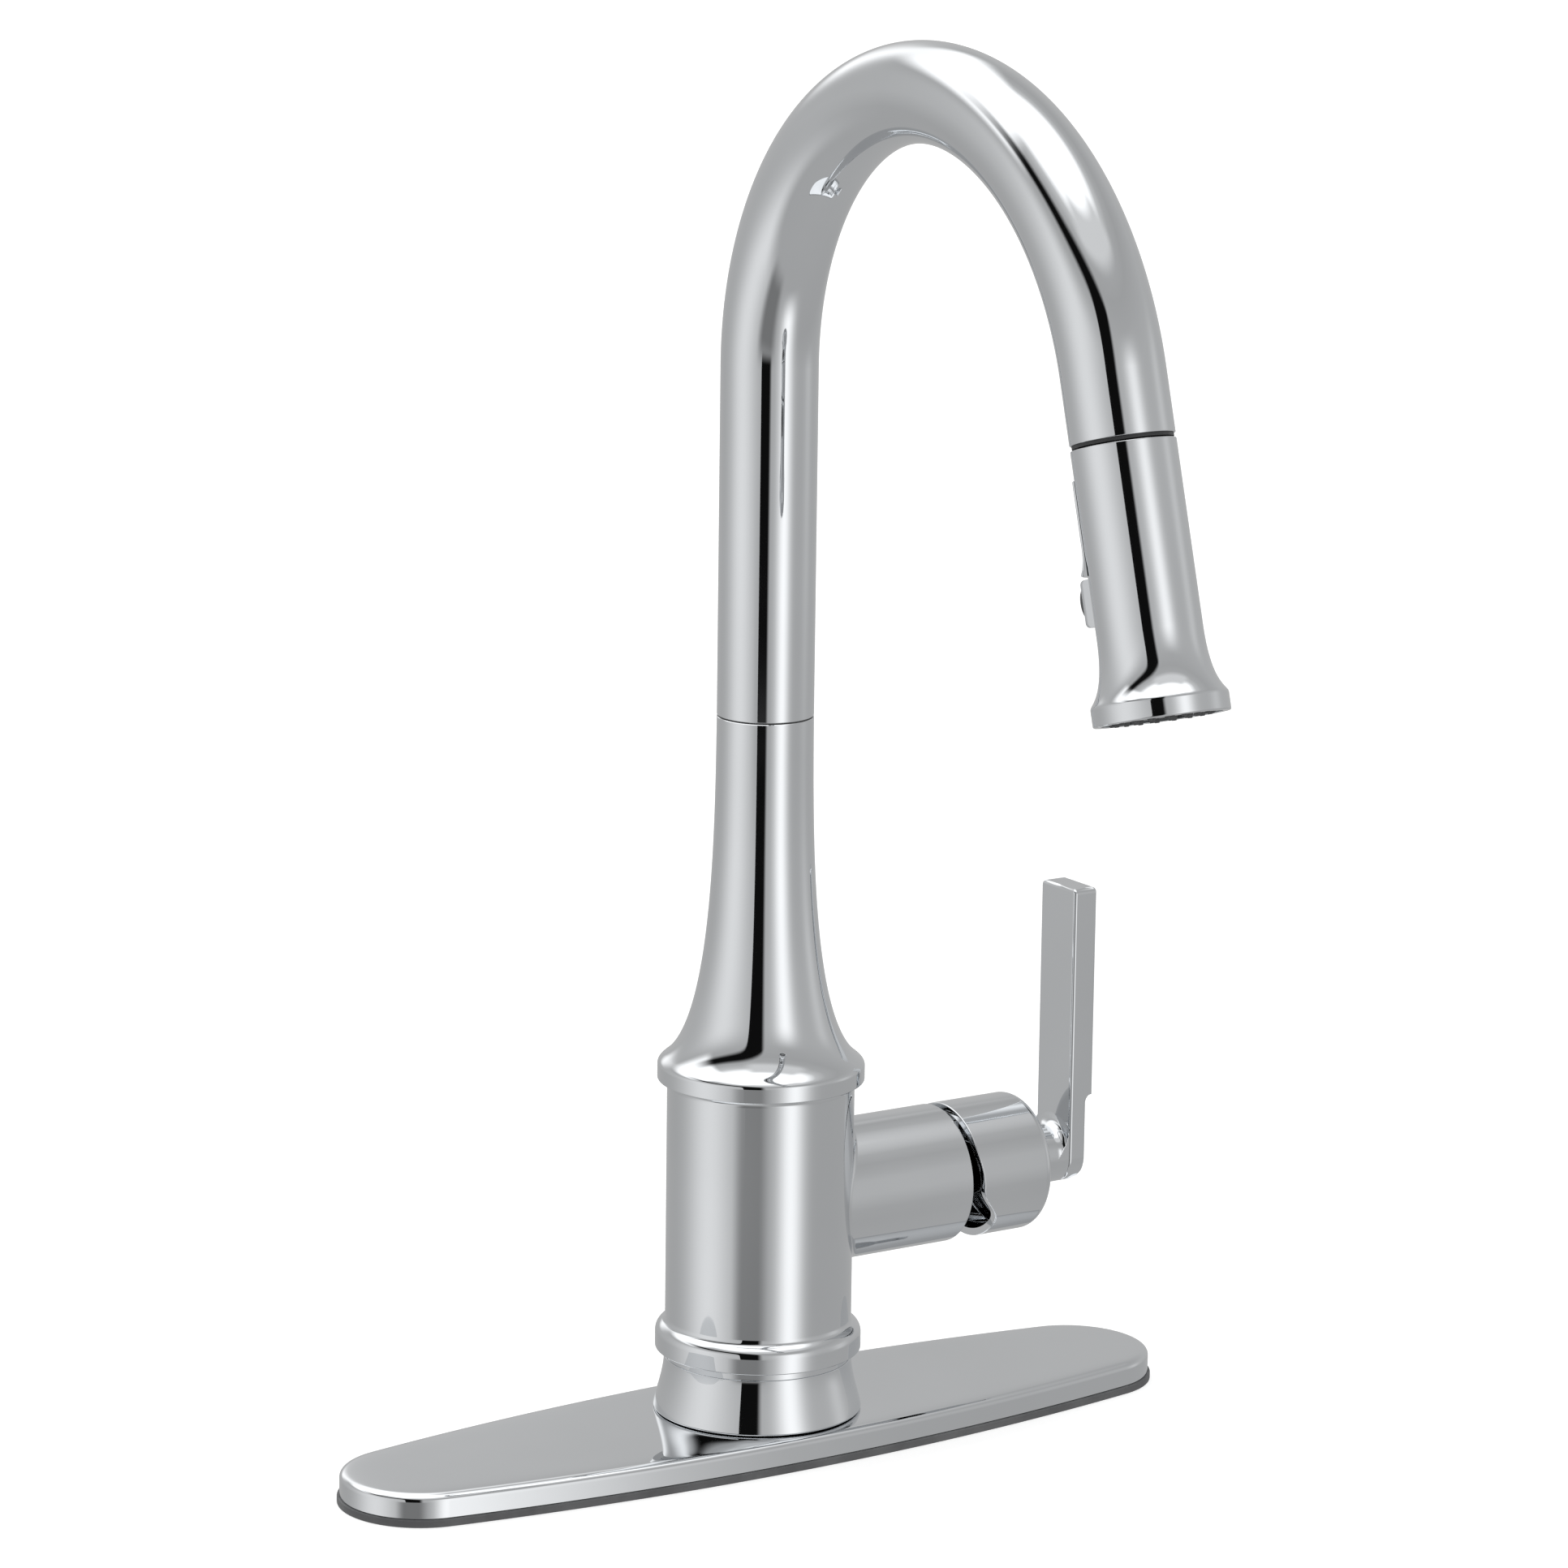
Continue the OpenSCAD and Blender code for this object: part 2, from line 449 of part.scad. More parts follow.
module spray_nozzles() color(DARK) tip() {
  translate([0, 0, -65.35]) ring(14.5, 6.6, 1.3);
  each_nozzle() {
    translate([0, 0, -71]) cylinder(r = 0.9, h = 6, $fn = 24);
    translate([0, 0, -71.9]) cylinder(r1 = 0.6, r2 = 0.9, h = 0.9, $fn = 24);
  }
}
module aerator() color(GREY) tip() difference() {
  translate([0, 0, -71]) cylinder(r = 6.1, h = 8);
  translate([0, 0, -72]) for (i = [0:5], j = [1, 2]) rotate([0, 0, i*60 + j*30]) translate([j*2.1, 0, 0]) cylinder(r = 0.75, h = 20, $fn = 24);
  translate([0, 0, -72]) cylinder(r = 0.75, h = 20, $fn = 24);
}
module face_seal() color(DARK) tip() translate([0, 0, -68]) oring(15.05, 0.62);

// Rocking button in the wand's rear window
module pill(hw, l, z) linear_extrude(z) union() {
  for (s = [-1, 1]) translate([0, s*(l/2 - hw)]) circle(hw, $fn = 48);
  square([2*hw, l - 2*hw], center = true);
}
module toggle_button() color(CHROME) tip() difference() {
  intersection() {
  translate([-6.9, 5, -50]) cube([13.8, 14, 20]);
  rotate_extrude(angle = 80, start = 50) polygon([
    [11.9, -45.8], [16.2, -45.8], [17.0, -45.0], [17.3, -43.8], [17.3, -35.2], [17.0, -34.2], [16.4, -33.6], [11.9, -33.6]]);
  }
  translate([0, 14.8, -39.2]) rotate([-90, 0, 0]) pill(5.3, 11, 10);
  translate([0, 10, -39.8]) rotate([-90, 0, 0]) cylinder(r = 3.2, h = 2.6);
}
module button_insert() color(GREY) tip() intersection() {
  translate([0, 14.8, -39.2]) rotate([-90, 0, 0]) pill(5.3, 11, 10);
  translate([0, 0, -50]) cylinder(r = 18.9, h = 30);
}
// Coil spring behind the button, swept round its axis
spring_n = 72;
module button_spring() color(STEEL) tip() translate([0, 6.5, -39.8]) {
  sides = 8; wr = 0.32; R = 2.3; turns = 4.5; h = 5.3;
  pts = [for (i = [0:spring_n], k = [0:sides-1]) let (a = 360*turns*i/spring_n, b = 360*k/sides, rr = R + wr*cos(b))
    [rr*cos(a), h*i/spring_n + wr*sin(b), rr*sin(a)]];
  polyhedron(points = pts, faces = concat(
    [[for (k = [0:sides-1]) k]], [[for (k = [sides-1:-1:0]) spring_n*sides + k]],
    [for (i = [0:spring_n-1], k = [0:sides-1]) let (a = i*sides + k, b = i*sides + (k+1)%sides) [a, a + sides, b + sides, b]]));
}
module diverter_plunger() color(WHITE) tip() {
  translate([0, 0, -50]) cylinder(r = 2.6, h = 14);
  translate([0, 0, -50]) cylinder(r = 3.52, h = 3);
  translate([0, 0, -40]) cylinder(r = 3.52, h = 3);
}

deck_plate();
plate_carrier();
deck_seal();
base_flange();
base_seal();
body_shell();
bell_cover();
valve_body();
swivel_post();
post_o_rings();
post_retaining_ring();
thrust_ring();
shank();
rubber_washer();
steel_washer();
mounting_nut();
hose_guide();
hose_end_fitting();
cartridge_base();
seat_seals();
cartridge_housing();
fixed_disc();
bonnet_nut();
bonnet_ring();
cartridge_rotor();
tilt_pin();
disc_carrier();
moving_disc();
cartridge_stem();
handle_hub();
lever_blade();
set_screw();
index_plug();
spout_tube();
spout_bushing();
dock_bush();
dock_magnet();
spray_hose();
hose_ferrule();
hose_nut();
wand_shell();
wand_spine();
wand_core();
dock_plate();
inlet_screen();
check_valve();
spray_plate();
spray_nozzles();
aerator();
face_seal();
toggle_button();
button_insert();
button_spring();
diverter_plunger();
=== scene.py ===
import math
import bpy, bmesh
import numpy as np
from mathutils import Matrix, Vector

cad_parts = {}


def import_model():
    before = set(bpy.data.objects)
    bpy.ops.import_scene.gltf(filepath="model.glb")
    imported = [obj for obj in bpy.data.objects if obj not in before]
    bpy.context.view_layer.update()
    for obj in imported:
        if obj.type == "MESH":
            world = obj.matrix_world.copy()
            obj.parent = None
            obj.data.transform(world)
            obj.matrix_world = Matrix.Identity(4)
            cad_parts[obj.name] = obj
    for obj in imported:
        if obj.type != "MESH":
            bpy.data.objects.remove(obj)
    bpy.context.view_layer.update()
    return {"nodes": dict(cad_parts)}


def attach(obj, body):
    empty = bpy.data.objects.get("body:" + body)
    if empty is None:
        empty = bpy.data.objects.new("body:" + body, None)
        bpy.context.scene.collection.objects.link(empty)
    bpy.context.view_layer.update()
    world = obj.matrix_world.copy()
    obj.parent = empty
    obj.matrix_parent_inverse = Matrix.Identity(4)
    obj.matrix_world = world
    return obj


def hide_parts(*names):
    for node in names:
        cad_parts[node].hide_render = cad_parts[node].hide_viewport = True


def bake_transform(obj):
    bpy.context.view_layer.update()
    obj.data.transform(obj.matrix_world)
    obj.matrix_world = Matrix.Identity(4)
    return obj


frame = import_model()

MM = 0.001
sc = bpy.context.scene
sc.view_settings.view_transform = "Standard"
sc.view_settings.look = "None"

# ------------------------------------------------------------------ sizes (mm), as in the frame
PLATE_L, PLATE_W, PLATE_RE, PLATE_TOP = 266.7, 64.7, 22.8, 9.25
CARR_T, CARR_LIP = 2.2, 0.7
BODY_R, RING_R, COLLAR_Z, SPLIT_Z = 26.55, 29.35, 106.2, 211.0
VZ, NECK_R, NECK_X, HUB_X = 69.6, 20.0, 60.6, 88.9
TUBE_R, TUBE_W, BEND_Z, BR1, BR2, BA2, TUBE_END, YAW = 13.6, 1.3, 309.7, 83.0, 88.0, 73.2, 17.0, -1.83
WAND_L, RIM_R, HOSE_R = 71.6, 17.7, 5.5
TIP_Y = -BR1 - BR2 * math.sin(math.radians(BA2)) - TUBE_END * math.cos(math.radians(BA2))
TIP_Z = BEND_Z + BR1 - BR2 + BR2 * math.cos(math.radians(BA2)) - TUBE_END * math.sin(math.radians(BA2))

def rot(axis, deg):
    return np.array(Matrix.Rotation(math.radians(deg), 4, axis))

def move(x, y, z):
    m = np.eye(4)
    m[:3, 3] = (x, y, z)
    return m

YAWM = rot("Z", YAW)
TIPM = YAWM @ move(0, TIP_Y, TIP_Z) @ rot("X", -(90 - BA2)) @ rot("Z", 12)
# maps a profile about local +Z to one about world +X at the valve's height
XM = np.array([[0, 0, 1, 0], [1, 0, 0, 0], [0, 1, 0, VZ], [0, 0, 0, 1]], float)
I4 = np.eye(4)

# ------------------------------------------------------------------ mesh helpers
class Surf:
    """Grids and flat caps with exact normals, welded into one mesh."""
    def __init__(self):
        self.P, self.N, self.F, self.n = [], [], [], 0

    def grid(self, P, N, M=I4, skip=None):
        P, N = np.asarray(P, float), np.asarray(N, float)
        N = N / np.maximum(np.linalg.norm(N, axis=-1, keepdims=True), 1e-12)
        P = P @ M[:3, :3].T + M[:3, 3]
        N = N @ M[:3, :3].T
        m, n = P.shape[:2]
        idx = self.n + np.arange(m * n).reshape(m, n)
        a, b, c, d = idx[:-1, :-1], idx[1:, :-1], idx[1:, 1:], idx[:-1, 1:]
        q = np.stack([a, b, c, d], -1)
        if skip is not None:
            q = q[~skip]
        self.F.extend(q.reshape(-1, 4).tolist())
        self.P.append(P.reshape(-1, 3)); self.N.append(N.reshape(-1, 3)); self.n += m * n

    def cap(self, pts, normal, M=I4):
        pts = np.asarray(pts, float) @ M[:3, :3].T + M[:3, 3]
        nn = np.asarray(normal, float) @ M[:3, :3].T
        self.F.append(list(range(self.n, self.n + len(pts))))
        self.P.append(pts); self.N.append(np.tile(nn / np.linalg.norm(nn), (len(pts), 1))); self.n += len(pts)

    def build(self, name):
        P, N = np.concatenate(self.P), np.concatenate(self.N)
        key = np.floor(P * 5000 + 0.37).astype(np.int64)
        _, first, inv = np.unique(key, axis=0, return_index=True, return_inverse=True)
        inv = inv.reshape(-1)
        V = P[first]
        faces, loops = [], []
        for f in self.F:
            ids, raw = [], []
            for k in f:
                i = int(inv[k])
                if i not in ids:
                    ids.append(i); raw.append(k)
            if len(ids) < 3:
                continue
            p = V[ids]
            g = np.zeros(3)
            for i in range(len(p)):
                g += np.cross(p[i] - p[0], p[(i + 1) % len(p)] - p[0])
            if g @ N[raw].mean(0) < 0:
                ids.reverse(); raw.reverse()
            faces.append(ids); loops.extend(raw)
        used = np.zeros(len(V), bool)
        for f in faces:
            used[f] = True
        new = np.cumsum(used) - 1
        faces = [[int(new[i]) for i in f] for f in faces]
        me = bpy.data.meshes.new(name)
        me.from_pydata((V[used] * MM).tolist(), [], faces)
        me.polygons.foreach_set("use_smooth", [True] * len(me.polygons))
        me.update()
        me.normals_split_custom_set(N[loops].tolist())
        ob = bpy.data.objects.new(name, me)
        sc.collection.objects.link(ob)
        return ob

def line(a, b, n=1):
    a, b = np.array(a, float), np.array(b, float)
    d = b - a
    t = np.linspace(0, 1, n + 1)[:, None]
    return a + t * d, np.tile([d[1], -d[0]] / np.hypot(*d), (n + 1, 1))

def bez(a, b, c, d, n=24):
    a, b, c, d = (np.array(q, float) for q in (a, b, c, d))
    t = np.linspace(0, 1, n + 1)[:, None]
    u = 1 - t
    p = u**3 * a + 3 * u * u * t * b + 3 * u * t * t * c + t**3 * d
    g = 3 * (u * u * (b - a) + 2 * u * t * (c - b) + t * t * (d - c))
    g = g / np.linalg.norm(g, axis=1, keepdims=True)
    return p, np.stack([g[:, 1], -g[:, 0]], 1)

def outline2(items, closed=True, n=5):
    """Profile counter-clockwise in (r, z): vertices (r, z) or (r, z, rounding), and ("b", c1, c2) for a curve to the next vertex."""
    V, curve = [], {}
    for it in items:
        if it[0] == "b":
            curve[len(V) - 1] = it[1:]
        else:
            V.append(tuple(it) + (0,) if len(it) == 2 else tuple(it))
    m = len(V)
    start, end, arcs = {}, {}, {}
    for i in range(m):
        p, rad = np.array(V[i][:2], float), V[i][2]
        start[i] = end[i] = p
        inner = closed or 0 < i < m - 1
        if rad and inner and i not in curve and (i - 1) % m not in curve:
            a, b = np.array(V[i - 1][:2], float), np.array(V[(i + 1) % m][:2], float)
            u, w = (p - a) / np.linalg.norm(p - a), (b - p) / np.linalg.norm(b - p)
            turn = math.acos(max(-1, min(1, u @ w)))
            if turn < 1e-3:
                continue
            t = rad * math.tan(turn / 2)
            s = 1 if u[0] * w[1] - u[1] * w[0] > 0 else -1
            p0, p1 = p - u * t, p + w * t
            c = p0 + s * rad * np.array([-u[1], u[0]])
            a0 = math.atan2(*(p0 - c)[::-1])
            A = a0 + s * np.linspace(0, turn, n + 1)
            nn = np.stack([np.cos(A), np.sin(A)], 1)
            arcs[i] = (c + rad * nn, s * nn)
            start[i], end[i] = p0, p1
    segs = []
    for i in range(m if closed else m - 1):
        if i in arcs:
            segs.append(arcs[i])
        j = (i + 1) % m
        if i in curve:
            segs.append(bez(V[i][:2], *curve[i], V[j][:2]))
        elif np.linalg.norm(start[j] - end[i]) > 1e-6:
            segs.append(line(end[i], start[j]))
    return segs

FULL = np.radians(np.linspace(0, 360, 193))

def revolve(S, segs, M=I4, th=FULL):
    for p, n in segs:
        c, s = np.cos(th), np.sin(th)
        S.grid(np.stack([p[:, :1] * c, p[:, :1] * s, p[:, 1:] + 0 * c], -1),
               np.stack([n[:, :1] * c, n[:, :1] * s, n[:, 1:] + 0 * c], -1), M)

def revolved(name, items, M=I4, th=FULL, n=5):
    S = Surf()
    revolve(S, outline2(items, n=n), M, th)
    return S.build(name)

def numeric(P, flip=False):
    """Normals of a smooth grid by central differences."""
    du, dv = np.gradient(P, axis=0), np.gradient(P, axis=1)
    N = np.cross(du, dv)
    N /= np.maximum(np.linalg.norm(N, axis=-1, keepdims=True), 1e-12)
    return -N if flip else N

def cad_copy(node, name=None, angle=32, bevel=0.0, weighted=True):
    """A welded, smooth copy of a CAD node's mesh, with eased edges."""
    src = frame["nodes"][node]
    me = src.data.copy()
    bm = bmesh.new()
    bm.from_mesh(me)
    bmesh.ops.remove_doubles(bm, verts=bm.verts, dist=2e-6)
    bmesh.ops.dissolve_limit(bm, angle_limit=math.radians(0.4), verts=bm.verts, edges=bm.edges)
    bm.to_mesh(me); bm.free()
    for a in ("custom_normal",):
        if a in me.attributes:
            me.attributes.remove(me.attributes[a])
    me.polygons.foreach_set("use_smooth", [True] * len(me.polygons))
    me.set_sharp_from_angle(angle=math.radians(angle))
    ob = bpy.data.objects.new(name or node + ".fine", me)
    sc.collection.objects.link(ob)
    if bevel:
        b = ob.modifiers.new("ease", "BEVEL")
        b.width = bevel * MM; b.segments = 3; b.limit_method = "ANGLE"; b.angle_limit = math.radians(35)
        b.use_clamp_overlap = True; b.harden_normals = False
    if weighted:
        w = ob.modifiers.new("flat", "WEIGHTED_NORMAL"); w.keep_sharp = True; w.weight = 80
    return ob

# ------------------------------------------------------------------ materials
def new_mat(name):
    m = bpy.data.materials.new(name)
    m.use_nodes = True
    nt = m.node_tree
    bsdf = nt.nodes.get("Principled BSDF")
    return m, nt, bsdf

def link(nt, a, b):
    nt.links.new(a, b)

def coords(nt, scale=1.0):
    tc = nt.nodes.new("ShaderNodeTexCoord")
    mp = nt.nodes.new("ShaderNodeMapping")
    mp.inputs["Scale"].default_value = (scale, scale, scale) if not isinstance(scale, tuple) else scale
    link(nt, tc.outputs["Object"], mp.inputs["Vector"])
    return mp.outputs["Vector"]

def noise(nt, vec, scale, detail=3.0, rough=0.5):
    n = nt.nodes.new("ShaderNodeTexNoise")
    n.inputs["Scale"].default_value = scale
    n.inputs["Detail"].default_value = detail
    n.inputs["Roughness"].default_value = rough
    link(nt, vec, n.inputs["Vector"])
    return n.outputs["Fac"]

def ramp(nt, fac, stops):
    r = nt.nodes.new("ShaderNodeValToRGB")
    e = r.color_ramp.elements
    while len(e) > 1:
        e.remove(e[-1])
    e[0].position = stops[0][0]; e[0].color = (*stops[0][1], 1)
    for p, c in stops[1:]:
        k = e.new(p); k.color = (*c, 1)
    link(nt, fac, r.inputs["Fac"])
    return r.outputs["Color"]

def remap(nt, fac, lo, hi, a=0.0, b=1.0):
    r = nt.nodes.new("ShaderNodeMapRange")
    r.inputs["From Min"].default_value = a; r.inputs["From Max"].default_value = b
    r.inputs["To Min"].default_value = lo; r.inputs["To Max"].default_value = hi
    link(nt, fac, r.inputs["Value"])
    return r.outputs["Result"]

def bump(nt, bsdf, height, strength, dist=0.0001):
    b = nt.nodes.new("ShaderNodeBump")
    b.inputs["Strength"].default_value = strength
    b.inputs["Distance"].default_value = dist
    link(nt, height, b.inputs["Height"])
    link(nt, b.outputs["Normal"], bsdf.inputs["Normal"])
    return b

def metal(name, c0, c1, r0, r1, scale=60, bump_s=0.03, stretch=None, dist=0.00002, bscale=420):
    m, nt, bs = new_mat(name)
    v = coords(nt, stretch or 1.0)
    f = noise(nt, v, scale, 4)
    link(nt, ramp(nt, f, [(0.35, c0), (0.65, c1)]), bs.inputs["Base Color"])
    bs.inputs["Metallic"].default_value = 1.0
    link(nt, remap(nt, noise(nt, v, scale * 2.3, 3), r0, r1, 0.35, 0.65), bs.inputs["Roughness"])
    bump(nt, bs, noise(nt, v, bscale, 2), bump_s, dist)
    return m

def plastic(name, c0, c1, r0, r1, scale=300, bump_s=0.25, dist=0.00004, coat=0.0):
    m, nt, bs = new_mat(name)
    v = coords(nt)
    link(nt, ramp(nt, noise(nt, v, scale * 0.2, 3), [(0.35, c0), (0.65, c1)]), bs.inputs["Base Color"])
    link(nt, remap(nt, noise(nt, v, scale, 3), r0, r1, 0.35, 0.65), bs.inputs["Roughness"])
    bs.inputs["Coat Weight"].default_value = coat
    bump(nt, bs, noise(nt, v, scale * 4, 2), bump_s, dist)
    return m

CHROME = metal("chrome_polished", (0.69, 0.705, 0.72), (0.72, 0.735, 0.752), 0.018, 0.05, 14, 0.012, dist=0.00001, bscale=160)
CHROME_IN = metal("chrome_inner", (0.36, 0.36, 0.365), (0.46, 0.46, 0.465), 0.18, 0.30, 40, 0.05)
BRASS = metal("machined_brass", (0.62, 0.44, 0.20), (0.72, 0.54, 0.28), 0.16, 0.30, 90, 0.15, stretch=(1.0, 1.0, 14.0), dist=0.00003)
STEEL = metal("satin_steel", (0.50, 0.50, 0.51), (0.62, 0.62, 0.63), 0.20, 0.36, 70, 0.2, stretch=(9.0, 1.0, 1.0), dist=0.00003)
ZINC = metal("galvanised_steel", (0.52, 0.53, 0.54), (0.68, 0.68, 0.67), 0.26, 0.45, 45, 0.25, dist=0.00004)
DARKP = plastic("dark_moulding", (0.035, 0.036, 0.038), (0.055, 0.056, 0.058), 0.42, 0.62)
CARRP = plastic("carrier_moulding", (0.11, 0.112, 0.116), (0.16, 0.162, 0.166), 0.45, 0.65)
GREYP = plastic("grey_moulding", (0.19, 0.195, 0.20), (0.26, 0.265, 0.27), 0.32, 0.5)
PILLP = plastic("button_grip", (0.085, 0.087, 0.09), (0.12, 0.122, 0.125), 0.38, 0.55, 420, 0.5)
WHITEP = plastic("white_acetal", (0.74, 0.735, 0.70), (0.82, 0.815, 0.79), 0.3, 0.48)
CERAM = plastic("lapped_ceramic", (0.82, 0.80, 0.75), (0.88, 0.87, 0.83), 0.08, 0.2, 200, 0.05, coat=0.4)
RUBBER = plastic("soft_rubber", (0.02, 0.02, 0.021), (0.036, 0.036, 0.038), 0.62, 0.85, 500, 0.5)
NOZZLE = plastic("nozzle_rubber", (0.075, 0.077, 0.08), (0.11, 0.112, 0.116), 0.5, 0.7, 500, 0.4)

def braid_mat():
    m, nt, bs = new_mat("hose_braid")
    v = coords(nt)
    link(nt, ramp(nt, noise(nt, v, 900, 4), [(0.35, (0.055, 0.058, 0.064)), (0.65, (0.13, 0.135, 0.145))]), bs.inputs["Base Color"])
    link(nt, remap(nt, noise(nt, v, 600, 3), 0.42, 0.7, 0.35, 0.65), bs.inputs["Roughness"])
    bs.inputs["Sheen Weight"].default_value = 0.25
    bump(nt, bs, noise(nt, v, 3000, 2), 0.4, 0.00006)
    return m
BRAID = braid_mat()

def give(ob, mat, body=None, slot=None, *nodes):
    ob.data.materials.clear()
    ob.data.materials.append(mat)
    if body:
        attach(ob, body)
    if nodes:
        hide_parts(*nodes)
    return ob

# ------------------------------------------------------------------ deck plate
END_A = PLATE_L / 2 - PLATE_RE
SIDE_R = (END_A**2 + PLATE_W**2 / 4 - PLATE_RE**2) / (PLATE_W - 2 * PLATE_RE)
SIDE_C = SIDE_R - PLATE_W / 2
END_T = 90 - math.degrees(math.atan2(END_A, SIDE_C))

def oval(d):
    pts, nrm = [], []
    for c, r, a0, a1, n in (((END_A, 0), PLATE_RE, -END_T, END_T, 96), ((0, -SIDE_C), SIDE_R, END_T, 180 - END_T, 96),
                            ((-END_A, 0), PLATE_RE, 180 - END_T, 180 + END_T, 96), ((0, SIDE_C), SIDE_R, 180 + END_T, 360 - END_T, 96)):
        for i in range(n):
            a = math.radians(a0 + (a1 - a0) * i / n)
            nrm.append((math.cos(a), math.sin(a)))
            pts.append((c[0] + (r - d) * nrm[-1][0], c[1] + (r - d) * nrm[-1][1]))
    pts.append(pts[0]); nrm.append(nrm[0])
    return np.array(pts), np.array(nrm)

def oval_strip(S, segs):
    """segs as in outline2, with r read as minus the inset."""
    for p, n in segs:
        rows, norms = [], []
        for (r, z), (nr, nz) in zip(p, n):
            q, w = oval(-r)
            rows.append(np.column_stack([q, np.full(len(q), z)])); norms.append(np.column_stack([w * nr, np.full(len(q), nz)]))
        S.grid(rows, norms)

def oval_disc(S, d, r, z, up):
    q, _ = oval(d)
    a = np.arctan2(q[:, 1], q[:, 0])
    h = np.column_stack([r * np.cos(a), r * np.sin(a)])
    t = np.linspace(0, 1, 7)[:, None, None]
    P = (1 - t) * q + t * h
    P = np.concatenate([P, np.full(P.shape[:2] + (1,), z)], -1)
    S.grid(P, np.tile([0, 0, up], P.shape[:2] + (1,)))
    return a

S = Surf()
oval_strip(S, outline2([(-2.2, 5.9), (-2.2, CARR_T), (0, CARR_T, 0.25), (0, 7.0)], closed=False))
oval_strip(S, [bez((0, 7.0), (0, 8.2), (-0.9, 8.86), (-2.4, 9.03), 14), bez((-2.4, 9.03), (-4.0, 9.21), (-7, PLATE_TOP), (-11, PLATE_TOP), 14)])
a = oval_disc(S, 11, 17.4, PLATE_TOP, 1)
b = oval_disc(S, 2.2, 17.4, 5.9, -1)
h = np.stack([17.4 * np.cos(a), 17.4 * np.sin(a)], -1)
S.grid(np.stack([np.column_stack([h, np.full(len(h), z)]) for z in (5.9, PLATE_TOP)]), -np.stack([np.column_stack([h, 0 * a])] * 2))
plate = give(S.build("deck_plate.chrome"), CHROME, "base", "chrome", "deck_plate")

S = Surf()
oval_strip(S, outline2([(-9, 0.0), (-9, 1), (-5, 1), (-5, 0), (CARR_LIP, 0, 0.25), (CARR_LIP, CARR_T, 0.4), (-2.6, CARR_T), (-2.6, 5.2, 0.3), (-4.6, 5.2, 0.3), (-4.6, CARR_T)], closed=False))
a = oval_disc(S, 9, 17.4, 0, -1)
b = oval_disc(S, 4.6, 17.4, CARR_T, 1)
for aa, z in ((a, 0), (b, CARR_T)):
    pass
h = np.stack([17.4 * np.cos(FULL), 17.4 * np.sin(FULL)], -1)
S.grid(np.stack([np.column_stack([h, np.full(len(h), z)]) for z in (0, CARR_T)]), -np.stack([np.column_stack([h, 0 * FULL])] * 2))
for s in (-1, 1):
    for x in (50.8, 101.6):
        revolve(S, outline2([(4, 2.2), (8, 2.2), (8, 7.2, 0.4), (4, 7.2, 0.4)]), move(s * x, 0, 0), np.radians(np.linspace(0, 360, 49)))
revolve(S, outline2([(17.4, 2.2), (27, 2.2), (27, 7.2, 0.4), (17.4, 7.2)]))
give(S.build("plate_carrier.moulding"), CARRP, "base", "carrier_plastic", "plate_carrier")

# ------------------------------------------------------------------ body
give(revolved("base_flange.chrome", [(20.1, 9.45), (23.9, 9.45), (23.9, 11), (27.6, 11), (27.6, 9.45), (29.1, 9.45), ("b", (29.43, 9.45), (29.7, 9.72)), (29.7, 10.1),
     ("b", (29.0, 13.6), (26.95, 19)), (26.75, 24.4), (26.75, 24.9, 0.25), (26.35, 24.9), (26.35, 27.3), (23.85, 27.3), (23.85, 33, 0.3), (20.1, 33, 0.3)]),
     CHROME, "base", "chrome", "base_flange")

